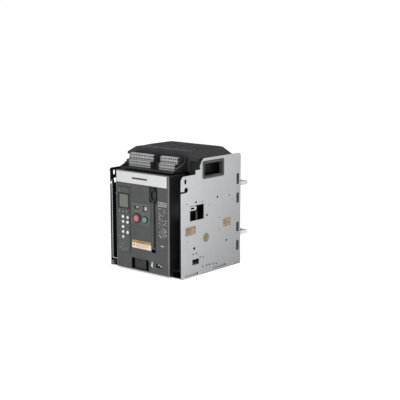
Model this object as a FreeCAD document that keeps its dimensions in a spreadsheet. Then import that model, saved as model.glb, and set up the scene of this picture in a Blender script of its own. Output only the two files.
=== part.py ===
"""Three-pole withdrawable air circuit breaker in its steel cassette, as a parametric document.

Millimetres, +Z up, the front faces -Y. The origin is the centre of the four base bolts, on the ground face.
Depths in the tables and in the sheet are measured from the front edge of the cassette's side plates.
"""
import FreeCAD, Part
import math
import os
from types import SimpleNamespace

import Sketcher

os.makedirs("parts", exist_ok=True)
doc = FreeCAD.newDocument("WithdrawableBreaker")

DRIVING = {
    # cassette
    "cassette_width": 281,
    "cassette_depth": 265,
    "plate_height": 334,
    "shoulder_height": 292,
    "shoulder_depth": 62,
    "shoulder_step": 12,
    "plate_rise": 18,
    "plate_corner": 9,
    "plate_steel": 2.5,
    "floor_steel": 3,
    "base_bolt_x": 200,
    "base_bolt_y": 175,
    "base_bolt_radius": 4.5,
    "hood_top": 352,
    "hood_flat_half": 100,
    "hood_body_half": 112,
    "hood_wing_bottom": 327,
    "hood_wall": 3,
    "hood_front": 70,
    "hood_rear": 230,
    "wall_front": 228,
    "wall_thickness": 30,
    "wall_top": 295.5,
    # power circuit
    "pole_pitch": 70,
    "line_height": 229,
    "load_height": 76,
    "bar_thickness": 12,
    "terminal_width": 50,
    "terminal_reach": 358,
    "stab_width": 42,
    "terminal_hole_radius": 5.5,
    "terminal_hole_gap": 25,
    # breaker
    "cover_width": 208,
    "cover_proud": 9,
    "cover_bottom": 4,
    "cover_top": 292,
    "cover_rear": 62,
    "cover_skin": 4,
    "cover_side": 3,
    "case_rear": 205,
    "case_bottom": 42,
    "case_top": 282,
    "case_wall": 6,
    "partition": 7,
    "contact_pivot_depth": 120,
    "contact_pivot_height": 100,
    "contact_open_angle": 18,
    "contact_arm_length": 130,
    # rails
    "rail_thickness": 2.5,
    "rail_gap": 4,
    "rail_bottom": 22,
    "rail_top": 195,
    "rail_post_top": 257,
    "rail_length": 214,
    "rail_shelf": 24,
    # shutters
    "shutter_thickness": 3,
    "shutter_half_width": 106,
    # front panel
    "trip_left": -101,
    "trip_width": 51,
    "trip_bottom": 51,
    "trip_height": 193,
    "trip_depth": 40,
    "dial_radius": 4.2,
    "key_width": 9,
    "key_height": 6,
    "panel_left": -41,
    "panel_width": 70,
    "panel_bottom": 142,
    "panel_height": 60,
    "off_radius": 12,
    "on_radius": 8,
    "handle_pivot_height": 76,
    "handle_x": 42.5,
    "handle_arm_width": 12,
    "handle_top": 253,
    "racking_x": -14,
    "racking_height": 24,
    "racking_rod_radius": 6,
    # terminal modules
    "module_pitch": 6.65,
    "module_front": 31.5,
    "module_tier": 13,
    # clearances
    "slip": 0.4,
    "running": 0.05,
}

# Round holes punched in both side plates: depth from the front edge, height, radius.
PLATE_HOLES = [
    (62, 214, 3.2), (90, 212, 1.8), (24, 213, 1.8), (110, 170, 3.2), (157, 216, 3.2),
    (212, 214, 2.0), (164, 154, 1.6), (164, 121, 1.6), (198, 82, 3.2), (54, 82, 4.2),
    (49, 66, 2.4), (64, 66, 2.4), (80, 52, 2.2), (93, 51, 2.2), (92, 23, 2.4),
    (109, 23, 2.4), (121, 23, 2.4), (138, 21, 2.4), (152, 20, 2.4), (26, 106, 1.6),
]
# Heights of the tall slots near the rear edge that take the rear wall's tabs: bottom, top.
TAB_SLOTS = [(43, 72), (100, 128), (186, 216), (242, 274)]
# Rivets: depth, height. They hold the rail guides, the floor flanges and the rear wall.
RIVETS = [(120, 197), (225, 197), (100, 33), (225, 33), (100, 9), (225, 9), (251, 86), (251, 229)]
# Rotary setting dials on the trip unit: name, x, height.
DIALS = [
    ("dial_rating", -77.5, 156), ("dial_long_pickup", -77.5, 141), ("dial_long_delay", -77.5, 126),
    ("dial_short_pickup", -77.5, 111), ("dial_short_delay", -77.5, 96), ("dial_instant", -59, 155),
    ("dial_earth_pickup", -59, 141), ("dial_earth_delay", -59, 111),
]
KEYS = [("key_left", -89, 172), ("key_middle", -75, 172), ("key_right", -61, 172)]
COVER_SCREWS = [(-97, 12), (97, 12), (97, 245), (-45, 245)]
# Groups of terminal modules: left end, number of modules.
MODULE_GROUPS = [(-98, 14), (22, 10)]


class Size:
    """A length that carries its value and the sheet formula that gives it."""

    def __init__(self, number, formula):
        self.number = float(number)
        self.formula = formula

    def __add__(self, other):
        other = size_of(other)
        return Size(self.number + other.number, f"({self.formula} + {other.formula})")

    def __sub__(self, other):
        other = size_of(other)
        return Size(self.number - other.number, f"({self.formula} - {other.formula})")

    def __mul__(self, other):
        other = size_of(other)
        return Size(self.number * other.number, f"({self.formula} * {other.formula})")

    def __truediv__(self, other):
        other = size_of(other)
        return Size(self.number / other.number, f"({self.formula} / {other.formula})")

    def __radd__(self, other):
        return size_of(other) + self

    def __rsub__(self, other):
        return size_of(other) - self

    def __rmul__(self, other):
        return size_of(other) * self

    def __neg__(self):
        return Size(-self.number, f"(0 - {self.formula})")

    def __float__(self):
        return self.number


def size_of(value):
    if isinstance(value, Size):
        return value
    return Size(value, f"({value:.6g})")


def make_sheet():
    """Fill the spreadsheet and return its values as sizes."""
    sheet = doc.addObject("Spreadsheet::Sheet", "Spec")
    spec = SimpleNamespace()
    for row, (alias, number) in enumerate(DRIVING.items(), start=1):
        sheet.set(f"A{row}", alias)
        sheet.set(f"B{row}", str(number))
        sheet.setAlias(f"B{row}", alias)
        setattr(spec, alias, Size(number, f"Spec.{alias}"))
    doc.recompute()
    return spec


S = make_sheet()
NODES = {}
TURN = {
    "x": FreeCAD.Rotation(FreeCAD.Vector(0, 1, 0), 90),
    "y": FreeCAD.Rotation(FreeCAD.Vector(1, 0, 0), -90),
    "z": FreeCAD.Rotation(),
}
SKETCH_PLANE = {"x": "YZ_Plane", "y": "XZ_Plane", "z": "XY_Plane"}


# ---------------------------------------------------------------- building blocks

def bind(piece, prop, value):
    piece.setExpression(prop, size_of(value).formula)


def place(piece, x, y, z):
    for axis, value in zip("xyz", (x, y, z)):
        bind(piece, ".Placement.Base." + axis, value)


def box(x, y, z):
    """A block between pairs of low and high values along X, Y and Z."""
    piece = doc.addObject("Part::Box", "Block")
    for (low, high), prop in zip((x, y, z), ("Length", "Width", "Height")):
        bind(piece, prop, size_of(high) - low)
    place(piece, x[0], y[0], z[0])
    return piece


def rod(axis, start, radius, length):
    """A cylinder that runs from its start point along one axis."""
    piece = doc.addObject("Part::Cylinder", "Rod")
    piece.Placement = FreeCAD.Placement(FreeCAD.Vector(), TURN[axis])
    bind(piece, "Radius", radius)
    bind(piece, "Height", length)
    place(piece, *start)
    return piece


def cone(axis, start, radius, end_radius, length):
    piece = doc.addObject("Part::Cone", "Cone")
    piece.Placement = FreeCAD.Placement(FreeCAD.Vector(), TURN[axis])
    bind(piece, "Radius1", radius)
    bind(piece, "Radius2", end_radius)
    bind(piece, "Height", length)
    place(piece, *start)
    return piece


def group(pieces):
    piece = doc.addObject("Part::Compound", "Group")
    piece.Links = pieces
    return piece


def join(pieces):
    piece = doc.addObject("Part::MultiFuse", "Join")
    piece.Shapes = pieces
    piece.Refine = True
    return piece


def cut(base, tools):
    piece = doc.addObject("Part::Cut", "Cut")
    piece.Base = base
    piece.Tool = tools[0] if len(tools) == 1 else join(tools)
    return piece


def extrude(axis, points, low, high, round_at=(), radius=0.0):
    """A body padded along one axis from an outline, with chosen corners rounded."""
    body = doc.addObject("PartDesign::Body", "Body")
    plane = next(f for f in body.Origin.OriginFeatures if f.Role == SKETCH_PLANE[axis])
    sketch = body.newObject("Sketcher::SketchObject", "Outline")
    sketch.AttachmentSupport = [(plane, "")]
    sketch.MapMode = "FlatFace"
    corners = [(size_of(u), size_of(v)) for u, v in points]
    count = len(corners)
    for i, (u, v) in enumerate(corners):
        nu, nv = corners[(i + 1) % count]
        start = FreeCAD.Vector(u.number, v.number, 0)
        sketch.addGeometry(Part.LineSegment(start, FreeCAD.Vector(nu.number, nv.number, 0)))
    for i in range(count):
        sketch.addConstraint(Sketcher.Constraint("Coincident", i, 2, (i + 1) % count, 1))
    for i, corner in enumerate(corners):
        for kind, value in zip(("DistanceX", "DistanceY"), corner):
            number = sketch.addConstraint(Sketcher.Constraint(kind, -1, 1, i, 1, value.number))
            sketch.setExpression(f"Constraints[{number}]", value.formula)
    # The XZ plane's normal points to -Y, so a pad along Y starts at its high end.
    start = -size_of(high) if axis == "y" else size_of(low)
    bind(sketch, ".AttachmentOffset.Base.z", start)
    pad = body.newObject("PartDesign::Pad", "Pad")
    pad.Profile = sketch
    bind(pad, "Length", size_of(high) - low)
    if round_at:
        doc.recompute()
        wanted = [(corners[i][0].number, corners[i][1].number) for i in round_at]
        names = edges_along(pad.Shape, axis, wanted)
        fillet = body.newObject("PartDesign::Fillet", "Rounding")
        fillet.Base = (pad, names)
        bind(fillet, "Radius", radius)
    return body


def edges_along(shape, axis, wanted):
    """Names of the edges parallel to an axis that stand on the wanted corners."""
    keep = [i for i in range(3) if "xyz"[i] != axis]
    names = []
    for number, edge in enumerate(shape.Edges, start=1):
        first, last = (tuple(v.Point) for v in (edge.Vertexes[0], edge.Vertexes[-1]))
        if any(abs(first[i] - last[i]) > 1e-4 for i in keep):
            continue
        if any(math.dist([first[i] for i in keep], corner) < 1e-3 for corner in wanted):
            names.append(f"Edge{number}")
    return names


def slot(axis, low, depth, start, end, radius):
    """A round-ended cutter between two points across an axis (x: y,z points; y: x,z points)."""
    ends = []
    for u, v in (start, end):
        where = (low, u, v) if axis == "x" else (u, low, v)
        ends.append(rod(axis, where, radius, depth))
    (u0, v0), (u1, v1) = start, end
    if abs(float(u0) - float(u1)) > abs(float(v0) - float(v1)):
        across, along = (size_of(v0) - radius, size_of(v0) + radius), (u0, u1)
        spans = (along, across)
    else:
        across, along = (size_of(u0) - radius, size_of(u0) + radius), (v0, v1)
        spans = (across, along)
    reach = (low, size_of(low) + depth)
    middle = box(reach, *spans) if axis == "x" else box(spans[0], reach, spans[1])
    return join(ends + [middle])


def mirrored(side, near, far):
    """The span between two distances from the middle plane, on the side asked for."""
    return (near, far) if side > 0 else (-size_of(far), -size_of(near))


def node(label, piece):
    piece.Label = label
    NODES[label] = piece
    return piece


# ---------------------------------------------------------------- shared places

front = -S.cassette_depth / 2
plate_outer = S.cassette_width / 2
plate_inner = plate_outer - S.plate_steel
POLES = [-S.pole_pitch, size_of(0), size_of(0) + S.pole_pitch]
chamber_half = (S.pole_pitch - S.partition) / 2
LEVELS = [S.line_height, S.load_height]
face = front - S.cover_proud
skin_back = face + S.cover_skin
cover_half = S.cover_width / 2
rail_outer = plate_inner - S.rail_gap
rail_inner = rail_outer - S.rail_thickness
wall_front = front + S.wall_front
wall_rear = wall_front + S.wall_thickness
plate_rear = front + S.cassette_depth
shutter_rear = wall_front - 3
shutter_front = shutter_rear - S.shutter_thickness
bar_half = S.bar_thickness / 2
case_front = front + S.cover_rear
case_rear = front + S.case_rear
pivot_y = front + S.contact_pivot_depth
pivot_z = S.contact_pivot_height
hood_front = front + S.hood_front
hood_rear = front + S.hood_rear


# ---------------------------------------------------------------- cassette

def side_plate(side):
    """Punched steel side with a raised rear part, lifting window, hook notch and tab slots."""
    rise = front + S.shoulder_depth + S.plate_rise
    step = S.shoulder_height + S.shoulder_step
    outline = [
        (front, 0), (plate_rear, 0), (plate_rear, S.plate_height), (rise + 12, S.plate_height),
        (rise, step + 6), (rise, step), (front + S.shoulder_depth, step),
        (front + S.shoulder_depth, S.shoulder_height), (front, S.shoulder_height),
    ]
    x = mirrored(side, plate_inner, plate_outer)
    plate = extrude("x", outline, x[0], x[1], (2, 3, 8), S.plate_corner)
    low, depth = x[0] - 1, S.plate_steel + 2
    through = (low, low + depth)
    tools = [rod("x", (low, front + y, z), r, depth) for y, z, r in PLATE_HOLES]
    tools.append(slot("x", low, depth, (front + 17, 274), (front + 17, 280), 4.2))
    tools.append(rod("x", (low, front + 20, 253), 7.5, depth))
    tools.append(box(through, (front - 1, front + 16), (245, 250)))
    tools.append(box(through, (front + 36, front + 97), (162, 205)))
    tools.append(box(through, (front + 92, front + 184), (277, 325)))
    tools.append(box(through, (front + 46, front + 75), (34, 50)))
    tools.append(slot("x", low, depth, (front + 16, 8), (front + 68, 8), 2.6))
    tools.append(slot("x", low, depth, (front + 140, 10), (front + 194, 10), 2.6))
    tools += [box(through, (wall_rear - 13, wall_rear - 1), span) for span in TAB_SLOTS]
    return cut(plate, tools)


def floor_plate():
    """Floor tray with a low flange against each side plate and the four base bolt holes."""
    flange = 15
    floor = box((-plate_inner, plate_inner), (front + 3, plate_rear - 3), (0, S.floor_steel))
    sides = [
        box(mirrored(side, plate_inner - S.floor_steel, plate_inner), (front + 3, wall_front - 1), (0, flange))
        for side in (-1, 1)
    ]
    holes = [
        rod("z", (S.base_bolt_x / 2 * i, S.base_bolt_y / 2 * j, -1), S.base_bolt_radius, S.floor_steel + 2)
        for i in (-1, 1) for j in (-1, 1)
    ]
    return cut(join([floor] + sides), holes)


def rear_wall():
    """Moulded insulating wall with six stab pockets, side tabs and the shutters' guide ribs."""
    half = plate_inner - S.slip
    parts = [box((-half, half), (wall_front, wall_rear), (S.floor_steel + 1, S.wall_top))]
    for side in (-1, 1):
        reach = mirrored(side, half - 1, plate_outer - 0.5)
        for low, high in TAB_SLOTS:
            span = (low + S.slip, high - S.slip)
            parts.append(box(reach, (wall_rear - 12.5, wall_rear - 1.5), span))
        rib = mirrored(side, S.shutter_half_width + S.slip, S.shutter_half_width + 5)
        lip = mirrored(side, S.shutter_half_width - 3, S.shutter_half_width + 5)
        parts.append(box(rib, (shutter_front - 3, wall_front), (10, S.wall_top)))
        parts.append(box(lip, (shutter_front - 3, shutter_front - S.slip), (10, S.wall_top)))
    tools = []
    for x in POLES:
        for level in LEVELS:
            pocket = (wall_front - 1, wall_front + 16)
            tools.append(box((x - 26, x + 26), pocket, (level - 15, level + 15)))
            bar = (level - bar_half, level + bar_half)
            width = (x - S.terminal_width / 2, x + S.terminal_width / 2)
            tools.append(box(width, (wall_front, wall_rear + 1), bar))
    return cut(join(parts), tools)


def terminals():
    """Copper bars, tin plated: a stab ahead of the wall and a drilled pad behind it."""
    bars = []
    for x in POLES:
        for level in LEVELS:
            span = (level - bar_half, level + bar_half)
            pad = box((x - S.terminal_width / 2, x + S.terminal_width / 2),
                      (wall_front + 16, front + S.terminal_reach), span)
            stab = box((x - S.stab_width / 2, x + S.stab_width / 2), (wall_front - 2, wall_front + 16),
                       (level - bar_half + 0.5, level + bar_half - 0.5))
            holes = [
                rod("z", (x + S.terminal_hole_gap / 2 * i, front + S.terminal_reach - 18, level - bar_half - 1),
                    S.terminal_hole_radius, S.bar_thickness + 2)
                for i in (-1, 1)
            ]
            bars.append(cut(join([pad, stab]), holes))
    return group(bars)


def rail_guides():
    """Moulded guides on the plates: a grooved strip over each rail and a ledge under it."""
    pieces = []
    top = S.rail_top
    for side in (-1, 1):
        sign = side
        groove = (rail_inner - S.slip, rail_outer + S.slip)
        upper = [
            (sign * plate_inner, top - 7), (sign * plate_inner, top + 7), (sign * (rail_inner - 4), top + 7),
            (sign * (rail_inner - 4), top - 7), (sign * groove[0], top - 7), (sign * groove[0], top + S.slip),
            (sign * groove[1], top + S.slip), (sign * groove[1], top - 7),
        ]
        pieces.append(extrude("y", upper, front + 108, shutter_front - 4))
        under = S.rail_bottom - S.slip
        shelf_end = rail_outer - S.rail_shelf
        lower = [
            (sign * plate_inner, under - 5), (sign * plate_inner, under + 18), (sign * groove[1], under + 18),
            (sign * groove[1], under), (sign * shelf_end, under), (sign * shelf_end, under - 5),
        ]
        pieces.append(extrude("y", lower, front + 20, shutter_front - 4))
    return group(pieces)


def extension_rail(side):
    """Bent steel side rail with a shelf for the breaker's lugs and a tall post at its front end."""
    sign = side
    rail_end = front + 1 + S.rail_length
    shelf_end = rail_outer - S.rail_shelf
    bottom = S.rail_bottom
    outline = [
        (sign * shelf_end, bottom), (sign * rail_outer, bottom), (sign * rail_outer, S.rail_top),
        (sign * rail_inner, S.rail_top), (sign * rail_inner, bottom + S.rail_thickness),
        (sign * shelf_end, bottom + S.rail_thickness),
    ]
    rail = extrude("y", outline, front + 1, rail_end)
    across = mirrored(side, rail_inner - 1, rail_outer + 1)
    post = box(mirrored(side, rail_inner, rail_outer), (front + 1, front + 11), (bottom, S.rail_post_top))
    window = box(across, (front + 30, front + 103), (150, S.rail_top + 1))
    pull = rod("x", (across[0], front + 18, 60), 7, S.rail_thickness + 2)
    return cut(join([rail, post]), [window, pull])


def terminal_housing():
    """Stepped black carrier for the terminal modules, with an end cheek on each side."""
    half = S.hood_flat_half + 1
    lower_seat, upper_seat = module_seats()
    steps = [
        (front + 4, 296), (front + 4, 299.5), (lower_seat, 299.5), (lower_seat, 317.5),
        (upper_seat, 317.5), (upper_seat, 337), (hood_front, 337), (hood_front, 296),
    ]
    cheek = [
        (front + 4, 296), (front + 4, 300), (front + 57, 321), (front + 60, 337),
        (hood_front, 337), (hood_front, 296),
    ]
    base = extrude("x", steps, -half, half)
    ends = [extrude("x", cheek, *mirrored(side, half - 2.5, half)) for side in (-1, 1)]
    return join([base] + ends)


def module_seats():
    """Depths of the two seats that the modules' tiers back onto."""
    return front + S.module_front + 16.5, front + S.module_front + 28.5


def module_places():
    for left, count in MODULE_GROUPS:
        for i in range(count):
            yield left + S.module_pitch * i


def terminal_modules():
    """Push-together terminal modules, each with two stepped faces and four screw wells."""
    modules = []
    lower, upper = front + S.module_front, front + S.module_front + S.module_tier
    lower_seat, upper_seat = module_seats()
    outline = [
        (lower, 299.5), (lower_seat, 299.5), (lower_seat, 317.5), (upper_seat, 317.5),
        (upper_seat, 335), (upper, 335), (upper, 317), (lower, 317),
    ]
    gap = 0.25
    for left in module_places():
        body = extrude("x", outline, left + gap, left + S.module_pitch - gap)
        wells = [
            rod("y", (left + S.module_pitch / 2, tier - 1, height), 2.2, 7)
            for tier, height in ((lower, 304), (lower, 312), (upper, 322), (upper, 330))
        ]
        modules.append(cut(body, wells))
    return group(modules)


def terminal_screws():
    lower, upper = front + S.module_front, front + S.module_front + S.module_tier
    return group([
        rod("y", (left + S.module_pitch / 2, tier + 3, height), 1.9, 3)
        for left in module_places()
        for tier, height in ((lower, 304), (lower, 312), (upper, 322), (upper, 330))
    ])


def arc_hood():
    """Moulded hood over the arc chutes, with chamfered sides that reach the side plates."""
    wing = plate_inner - 3
    body = S.hood_body_half
    top = S.hood_top
    wall = S.hood_wall
    low = S.hood_wing_bottom
    outer = [
        (-body, 296), (body, 296), (body, low), (wing, low), (wing, low + 7), (S.hood_flat_half, top),
        (-S.hood_flat_half, top), (-wing, low + 7), (-wing, low), (-body, low),
    ]
    inner = [
        (-body + wall, 295), (body - wall, 295), (body - wall, low + 6),
        (S.hood_flat_half, top - wall), (-S.hood_flat_half, top - wall), (-body + wall, low + 6),
    ]
    shell = extrude("y", outer, hood_front, hood_rear)
    hollow = extrude("y", inner, hood_front + wall, hood_rear - wall)
    skirts = [
        box(mirrored(side, body - wall, body), (hood_front, shutter_front - 4), (284, 298))
        for side in (-1, 1)
    ]
    return join([cut(shell, [hollow])] + skirts)


def lifting_window_rims():
    """Black moulded rims pressed into the lifting windows."""
    rims = []
    for side in (-1, 1):
        x = mirrored(side, plate_inner - 1.5, plate_outer + 0.8)
        ring = box(x, (front + 92, front + 184), (277, 325))
        hole = box((x[0] - 1, x[1] + 1), (front + 95, front + 181), (280, 322))
        rims.append(cut(ring, [hole]))
    return group(rims)


def racking_nut():
    block = box((S.racking_x - 14, S.racking_x + 14), (front + 146, front + 172), (S.floor_steel, 38))
    hole = rod("y", (S.racking_x, front + 145, S.racking_height), S.racking_rod_radius + S.slip, 28)
    return cut(block, [hole])


def plate_rivets():
    """Low round heads outside the plates, with shanks into what they hold."""
    rivets = []
    for side in (-1, 1):
        x = mirrored(side, plate_outer, plate_outer + 1)
        for depth, height in RIVETS:
            rivets.append(rod("x", (x[0], front + depth, height), 3, 1))
    return group(rivets)


def shutter(level, direction):
    """Insulating sheet with three windows, moved along Z to cover the stab pockets."""
    clear = bar_half + 7
    past = bar_half + 7 + 15
    half = S.shutter_half_width
    if direction < 0:
        window = (level - clear, level + past)
        reach = (level - clear - 8, level + past + 38)
    else:
        window = (level - past, level + clear)
        reach = (level - past - 33, level + clear + 8)
    sheet = box((-half, half), (shutter_front, shutter_rear), reach)
    holes = [
        box((x - S.stab_width / 2 - 3, x + S.stab_width / 2 + 3), (shutter_front - 1, shutter_rear + 1), window)
        for x in POLES
    ]
    return cut(sheet, holes)


# ---------------------------------------------------------------- breaker: shells and front panel

def front_cover():
    """Moulded front shell: openings for trip unit, buttons, handle, racking port and indicators."""
    half = cover_half
    outline = [(-half, S.cover_bottom), (half, S.cover_bottom), (half, S.cover_top), (-half, S.cover_top)]
    shell = extrude("y", outline, face, case_front, (0, 1, 2, 3), 4)
    side = S.cover_side
    through = (face - 1, skin_back + 1)
    hollow = box((-half + side, half - side), (skin_back, case_front + 1),
                 (S.cover_bottom + side, S.cover_top - side))
    trip = box((S.trip_left - S.slip, S.trip_left + S.trip_width + S.slip), through,
               (S.trip_bottom - S.slip, S.trip_bottom + S.trip_height + S.slip))
    panel = box((S.panel_left - S.slip, S.panel_left + S.panel_width + S.slip), through,
                (S.panel_bottom - S.slip, S.panel_bottom + S.panel_height + S.slip))
    arm_half = S.handle_arm_width / 2
    slit = box((S.handle_x - arm_half - 1, S.handle_x + arm_half + 2.5), through,
               (S.handle_pivot_height - 11, 216))
    head = box((S.handle_x - 16, S.handle_x + 16), through, (209, S.handle_top + 2))
    port = box((-45, 24), through, (8, 40))
    dial = cut(rod("y", (38.5, face - 1, 28), 11, S.cover_skin + 2),
               [box((38.5, 60), (face - 2, skin_back + 2), (10, 50))])
    flag = box((51.5, 74), through, (24, 35))
    screws = [rod("y", (x, face - 1, height), 1.8, S.cover_skin + 2) for x, height in COVER_SCREWS]
    skin = cut(shell, [hollow, trip, panel, slit, head, port, dial, flag] + screws)
    tray = box((S.handle_x - 18, S.handle_x + 18), (skin_back + 2, skin_back + 4),
               (S.handle_pivot_height - 13, S.handle_top + 4))
    rims = [
        box((S.handle_x - 18, S.handle_x - 16), (skin_back, skin_back + 4), (209, S.handle_top + 4)),
        box((S.handle_x + 16, S.handle_x + 18), (skin_back, skin_back + 4), (209, S.handle_top + 4)),
        box((S.handle_x - 18, S.handle_x + 18), (skin_back, skin_back + 4),
            (S.handle_top + 2, S.handle_top + 4)),
    ]
    ears = [
        box((S.handle_x + near, S.handle_x + far), (skin_back, skin_back + 14),
            (S.handle_pivot_height - 13, S.handle_pivot_height + 9))
        for near, far in ((-arm_half - 5, -arm_half - 1), (arm_half + 1, arm_half + 5))
    ]
    pivot = pivot_place()
    bore = rod("x", (S.handle_x - 20, pivot[0], pivot[1]), 3 + S.running, 40)
    hub_gap = box((S.handle_x - arm_half - 1, S.handle_x + arm_half + 1), (skin_back, skin_back + 16),
                  (S.handle_pivot_height - 14, S.handle_pivot_height + 10))
    return cut(join([skin, tray] + rims + ears), [bore, hub_gap])


def pivot_place():
    """Depth and height of the charging handle's pivot."""
    return (skin_back + 6, S.handle_pivot_height)


def charging_handle():
    """Arm with a looped grip at the top and a pivot pin through its lower end."""
    x, arm_half = S.handle_x, S.handle_arm_width / 2
    low, high = face - 1.5, skin_back + 1.2
    arm = box((x - arm_half, x + arm_half), (low, high), (S.handle_pivot_height + 4, 218))
    hub_y, hub_z = pivot_place()
    hub = rod("x", (x - arm_half, hub_y, hub_z), 5.5, S.handle_arm_width)
    neck = box((x - arm_half, x + arm_half), (low, hub_y), (hub_z - 1, hub_z + 5))
    pin = rod("x", (x - arm_half - 4, hub_y, hub_z), 3, S.handle_arm_width + 8)
    top = S.handle_top
    grip = extrude("y", [(x - 6, 211), (x + 6, 211), (x + 14, 224), (x + 13, 238), (x + 4, top),
                         (x - 4, top), (x - 13, 238), (x - 14, 224)],
                   low, high, (0, 1, 2, 3, 4, 5, 6, 7), 3)
    hole = extrude("y", [(x - 4, 218), (x + 4, 218), (x + 9, 226), (x + 8, 236), (x + 2, top - 5),
                         (x - 2, top - 5), (x - 8, 236), (x - 9, 226)], low - 1, high + 1)
    return join([cut(join([arm, grip]), [hole]), hub, neck, pin])


def header_plate():
    """Blank light header plate on the cover."""
    return extrude("y", [(-101, 257), (95, 257), (95, 289), (-101, 289)], face - 1.5, face,
                   (0, 1, 2, 3), 1)


def key_pocket(x, height, slack):
    half_w, half_h = S.key_width / 2 + slack, S.key_height / 2 + slack
    return (x - half_w, x + half_w), (height - half_h, height + half_h)


def trip_unit_case():
    """Electronic trip unit: a deep module with display recess, key and dial wells."""
    left, right = S.trip_left, S.trip_left + S.trip_width
    low, high = S.trip_bottom, S.trip_bottom + S.trip_height
    body = box((left, right), (face - 1, front + S.trip_depth - 10), (low, high))
    tools = [box((left + 8, right - 5), (face - 2, face + 2), (183, 223))]
    for _, x, height in DIALS:
        tools.append(rod("y", (x, face - 2, height), S.dial_radius + S.running, 9))
    for _, x, height in KEYS:
        across, tall = key_pocket(x, height, S.slip)
        tools.append(box(across, (face - 2, face + 6), tall))
    return cut(body, tools)


def trip_display():
    left, right = S.trip_left, S.trip_left + S.trip_width
    return box((left + 8.3, right - 5.3), (face - 0.4, face + 2), (183.3, 222.7))


def setting_dial(x, height):
    """Small screwdriver dial: a round knob with a slot and a flat chamfered rim."""
    knob = rod("y", (x, face - 1.8, height), S.dial_radius, 7)
    rim = cone("y", (x, face - 2.6, height), S.dial_radius - 0.8, S.dial_radius, 0.8)
    notch = box((x - 0.5, x + 0.5), (face - 3, face - 1.6), (height - 3, height + 3))
    return cut(join([knob, rim]), [notch])


def key(x, height):
    across, tall = key_pocket(x, height, 0)
    return box(across, (face - 2.6, face + 4), tall)


def button_panel():
    """Plate with the two push button wells and two indicator windows."""
    left, right = S.panel_left, S.panel_left + S.panel_width
    low, high = S.panel_bottom, S.panel_bottom + S.panel_height
    plate = box((left, right), (face - 0.8, skin_back), (low, high))
    through = face - 2
    tools = [
        rod("y", (-21, through, 158), S.off_radius + S.slip, 9),
        rod("y", (10, through, 157), S.on_radius + S.slip, 9),
        box((-29, -15), (through, skin_back + 2), (186, 194)),
        box((4, 18), (through, skin_back + 2), (182, 195)),
    ]
    return cut(plate, tools)


def push_button(x, height, radius):
    """Round cap with a softened rim and a guide stem."""
    rim = cone("y", (x, face - 5, height), radius - 1.5, radius, 1.5)
    cap = rod("y", (x, face - 3.5, height), radius, 8)
    stem = rod("y", (x, face + 4, height), 3, 8)
    return join([rim, cap, stem])


def flag(x, height, half):
    """Two-tone indicator plate behind its window; it slides down by half its height."""
    return box((x - half, x + half), (skin_back + S.slip, skin_back + 1.4), (height - 7, height + 20))


def cover_screws():
    return group([
        join([rod("y", (x, face - 1, height), 3.2, 1), rod("y", (x, face, height), 1.6, S.cover_skin)])
        for x, height in COVER_SCREWS
    ])


def racking_shutter():
    """Sliding cover over the racking port."""
    plate = box((-36, 8), (skin_back + S.slip, skin_back + 3), (8.5, 38.5))
    finger_groove = box((-21, -7), (skin_back, skin_back + 1.6), (31, 35))
    return cut(plate, [finger_groove])


def racking_release_dial():
    disc = rod("y", (38.5, skin_back + S.slip, 28), 11.6, 4)
    stub = rod("y", (38.5, skin_back + 4, 28), 3, 9)
    groove = box((30, 47), (skin_back, skin_back + 1.8), (26.8, 29.2))
    return cut(join([disc, stub]), [groove])


def position_indicator():
    return box((51, 76), (skin_back + S.slip, skin_back + 1.6), (7.6, 35.6))


def racking_bracket():
    """Plate across the bottom of the breaker that carries the racking screw and dial."""
    low, high = skin_back + 7.5, skin_back + 13.5
    plate = box((-60, 62), (low, high), (8, 48))
    feet = [box((x, x + 4), (high, case_front), (36, 48)) for x in (-60, 58)]
    tools = [
        rod("y", (S.racking_x, low - 1, S.racking_height), S.racking_rod_radius + 1 + S.running, 8),
        rod("y", (38.5, low - 1, 28), 3 + S.running, 8),
    ]
    return cut(join([plate] + feet), tools)


def racking_screw():
    """Lead screw with a hexagon socket for the crank and a collar each side of its bracket."""
    x, z = S.racking_x, S.racking_height
    low = skin_back + 7.5
    head = rod("y", (x, skin_back + 3.6, z), 9, 3.6)
    journal = rod("y", (x, skin_back + 6, z), S.racking_rod_radius + 1, 12)
    collar = rod("y", (x, low + 6.3, z), 9, 4)
    shank = rod("y", (x, low + 8, z), S.racking_rod_radius, front + 200 - low - 8)
    corners = []
    for i in range(6):
        angle = math.radians(60 * i)
        corners.append((x + 5 * math.cos(angle), z + 5 * math.sin(angle)))
    socket = extrude("y", corners, skin_back + 3, skin_back + 13)
    return cut(join([head, journal, collar, shank]), [socket])


def lug_places():
    """Depths of the front and rear lugs."""
    return front + 76, front + 185


def support_lugs():
    """Round lugs on the breaker's sides that stand on the rails' shelves."""
    lugs = []
    radius = 8
    height = S.rail_bottom + S.rail_thickness + S.slip + radius
    for side in (-1, 1):
        for y in lug_places():
            foot = box(mirrored(side, cover_half - 12, cover_half + 1), (y - 10, y + 10),
                       (height - radius + 1, S.case_bottom))
            x = mirrored(side, cover_half, rail_inner - 3)
            lugs.append(join([foot, rod("x", (x[0], y, height), radius, x[1] - x[0])]))
    return group(lugs)


# ---------------------------------------------------------------- breaker: poles

def pole_case():
    """Moulded case with three chambers, open at the top for the arc chutes."""
    outline = [(-cover_half, S.case_bottom), (cover_half, S.case_bottom),
               (cover_half, S.case_top), (-cover_half, S.case_top)]
    shell = extrude("y", outline, case_front + 5, case_rear, (0, 1, 2, 3), 3)
    tools = []
    for x in POLES:
        tools.append(box((x - chamber_half, x + chamber_half), (case_front + 4, case_rear - S.case_wall),
                         (S.case_bottom + 4, S.case_top + 1)))
        for level in LEVELS:
            tools.append(box((x - S.stab_width / 2, x + S.stab_width / 2), (case_rear - 10, case_rear + 1),
                             (level - bar_half, level + bar_half)))
    return cut(shell, tools)


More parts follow.
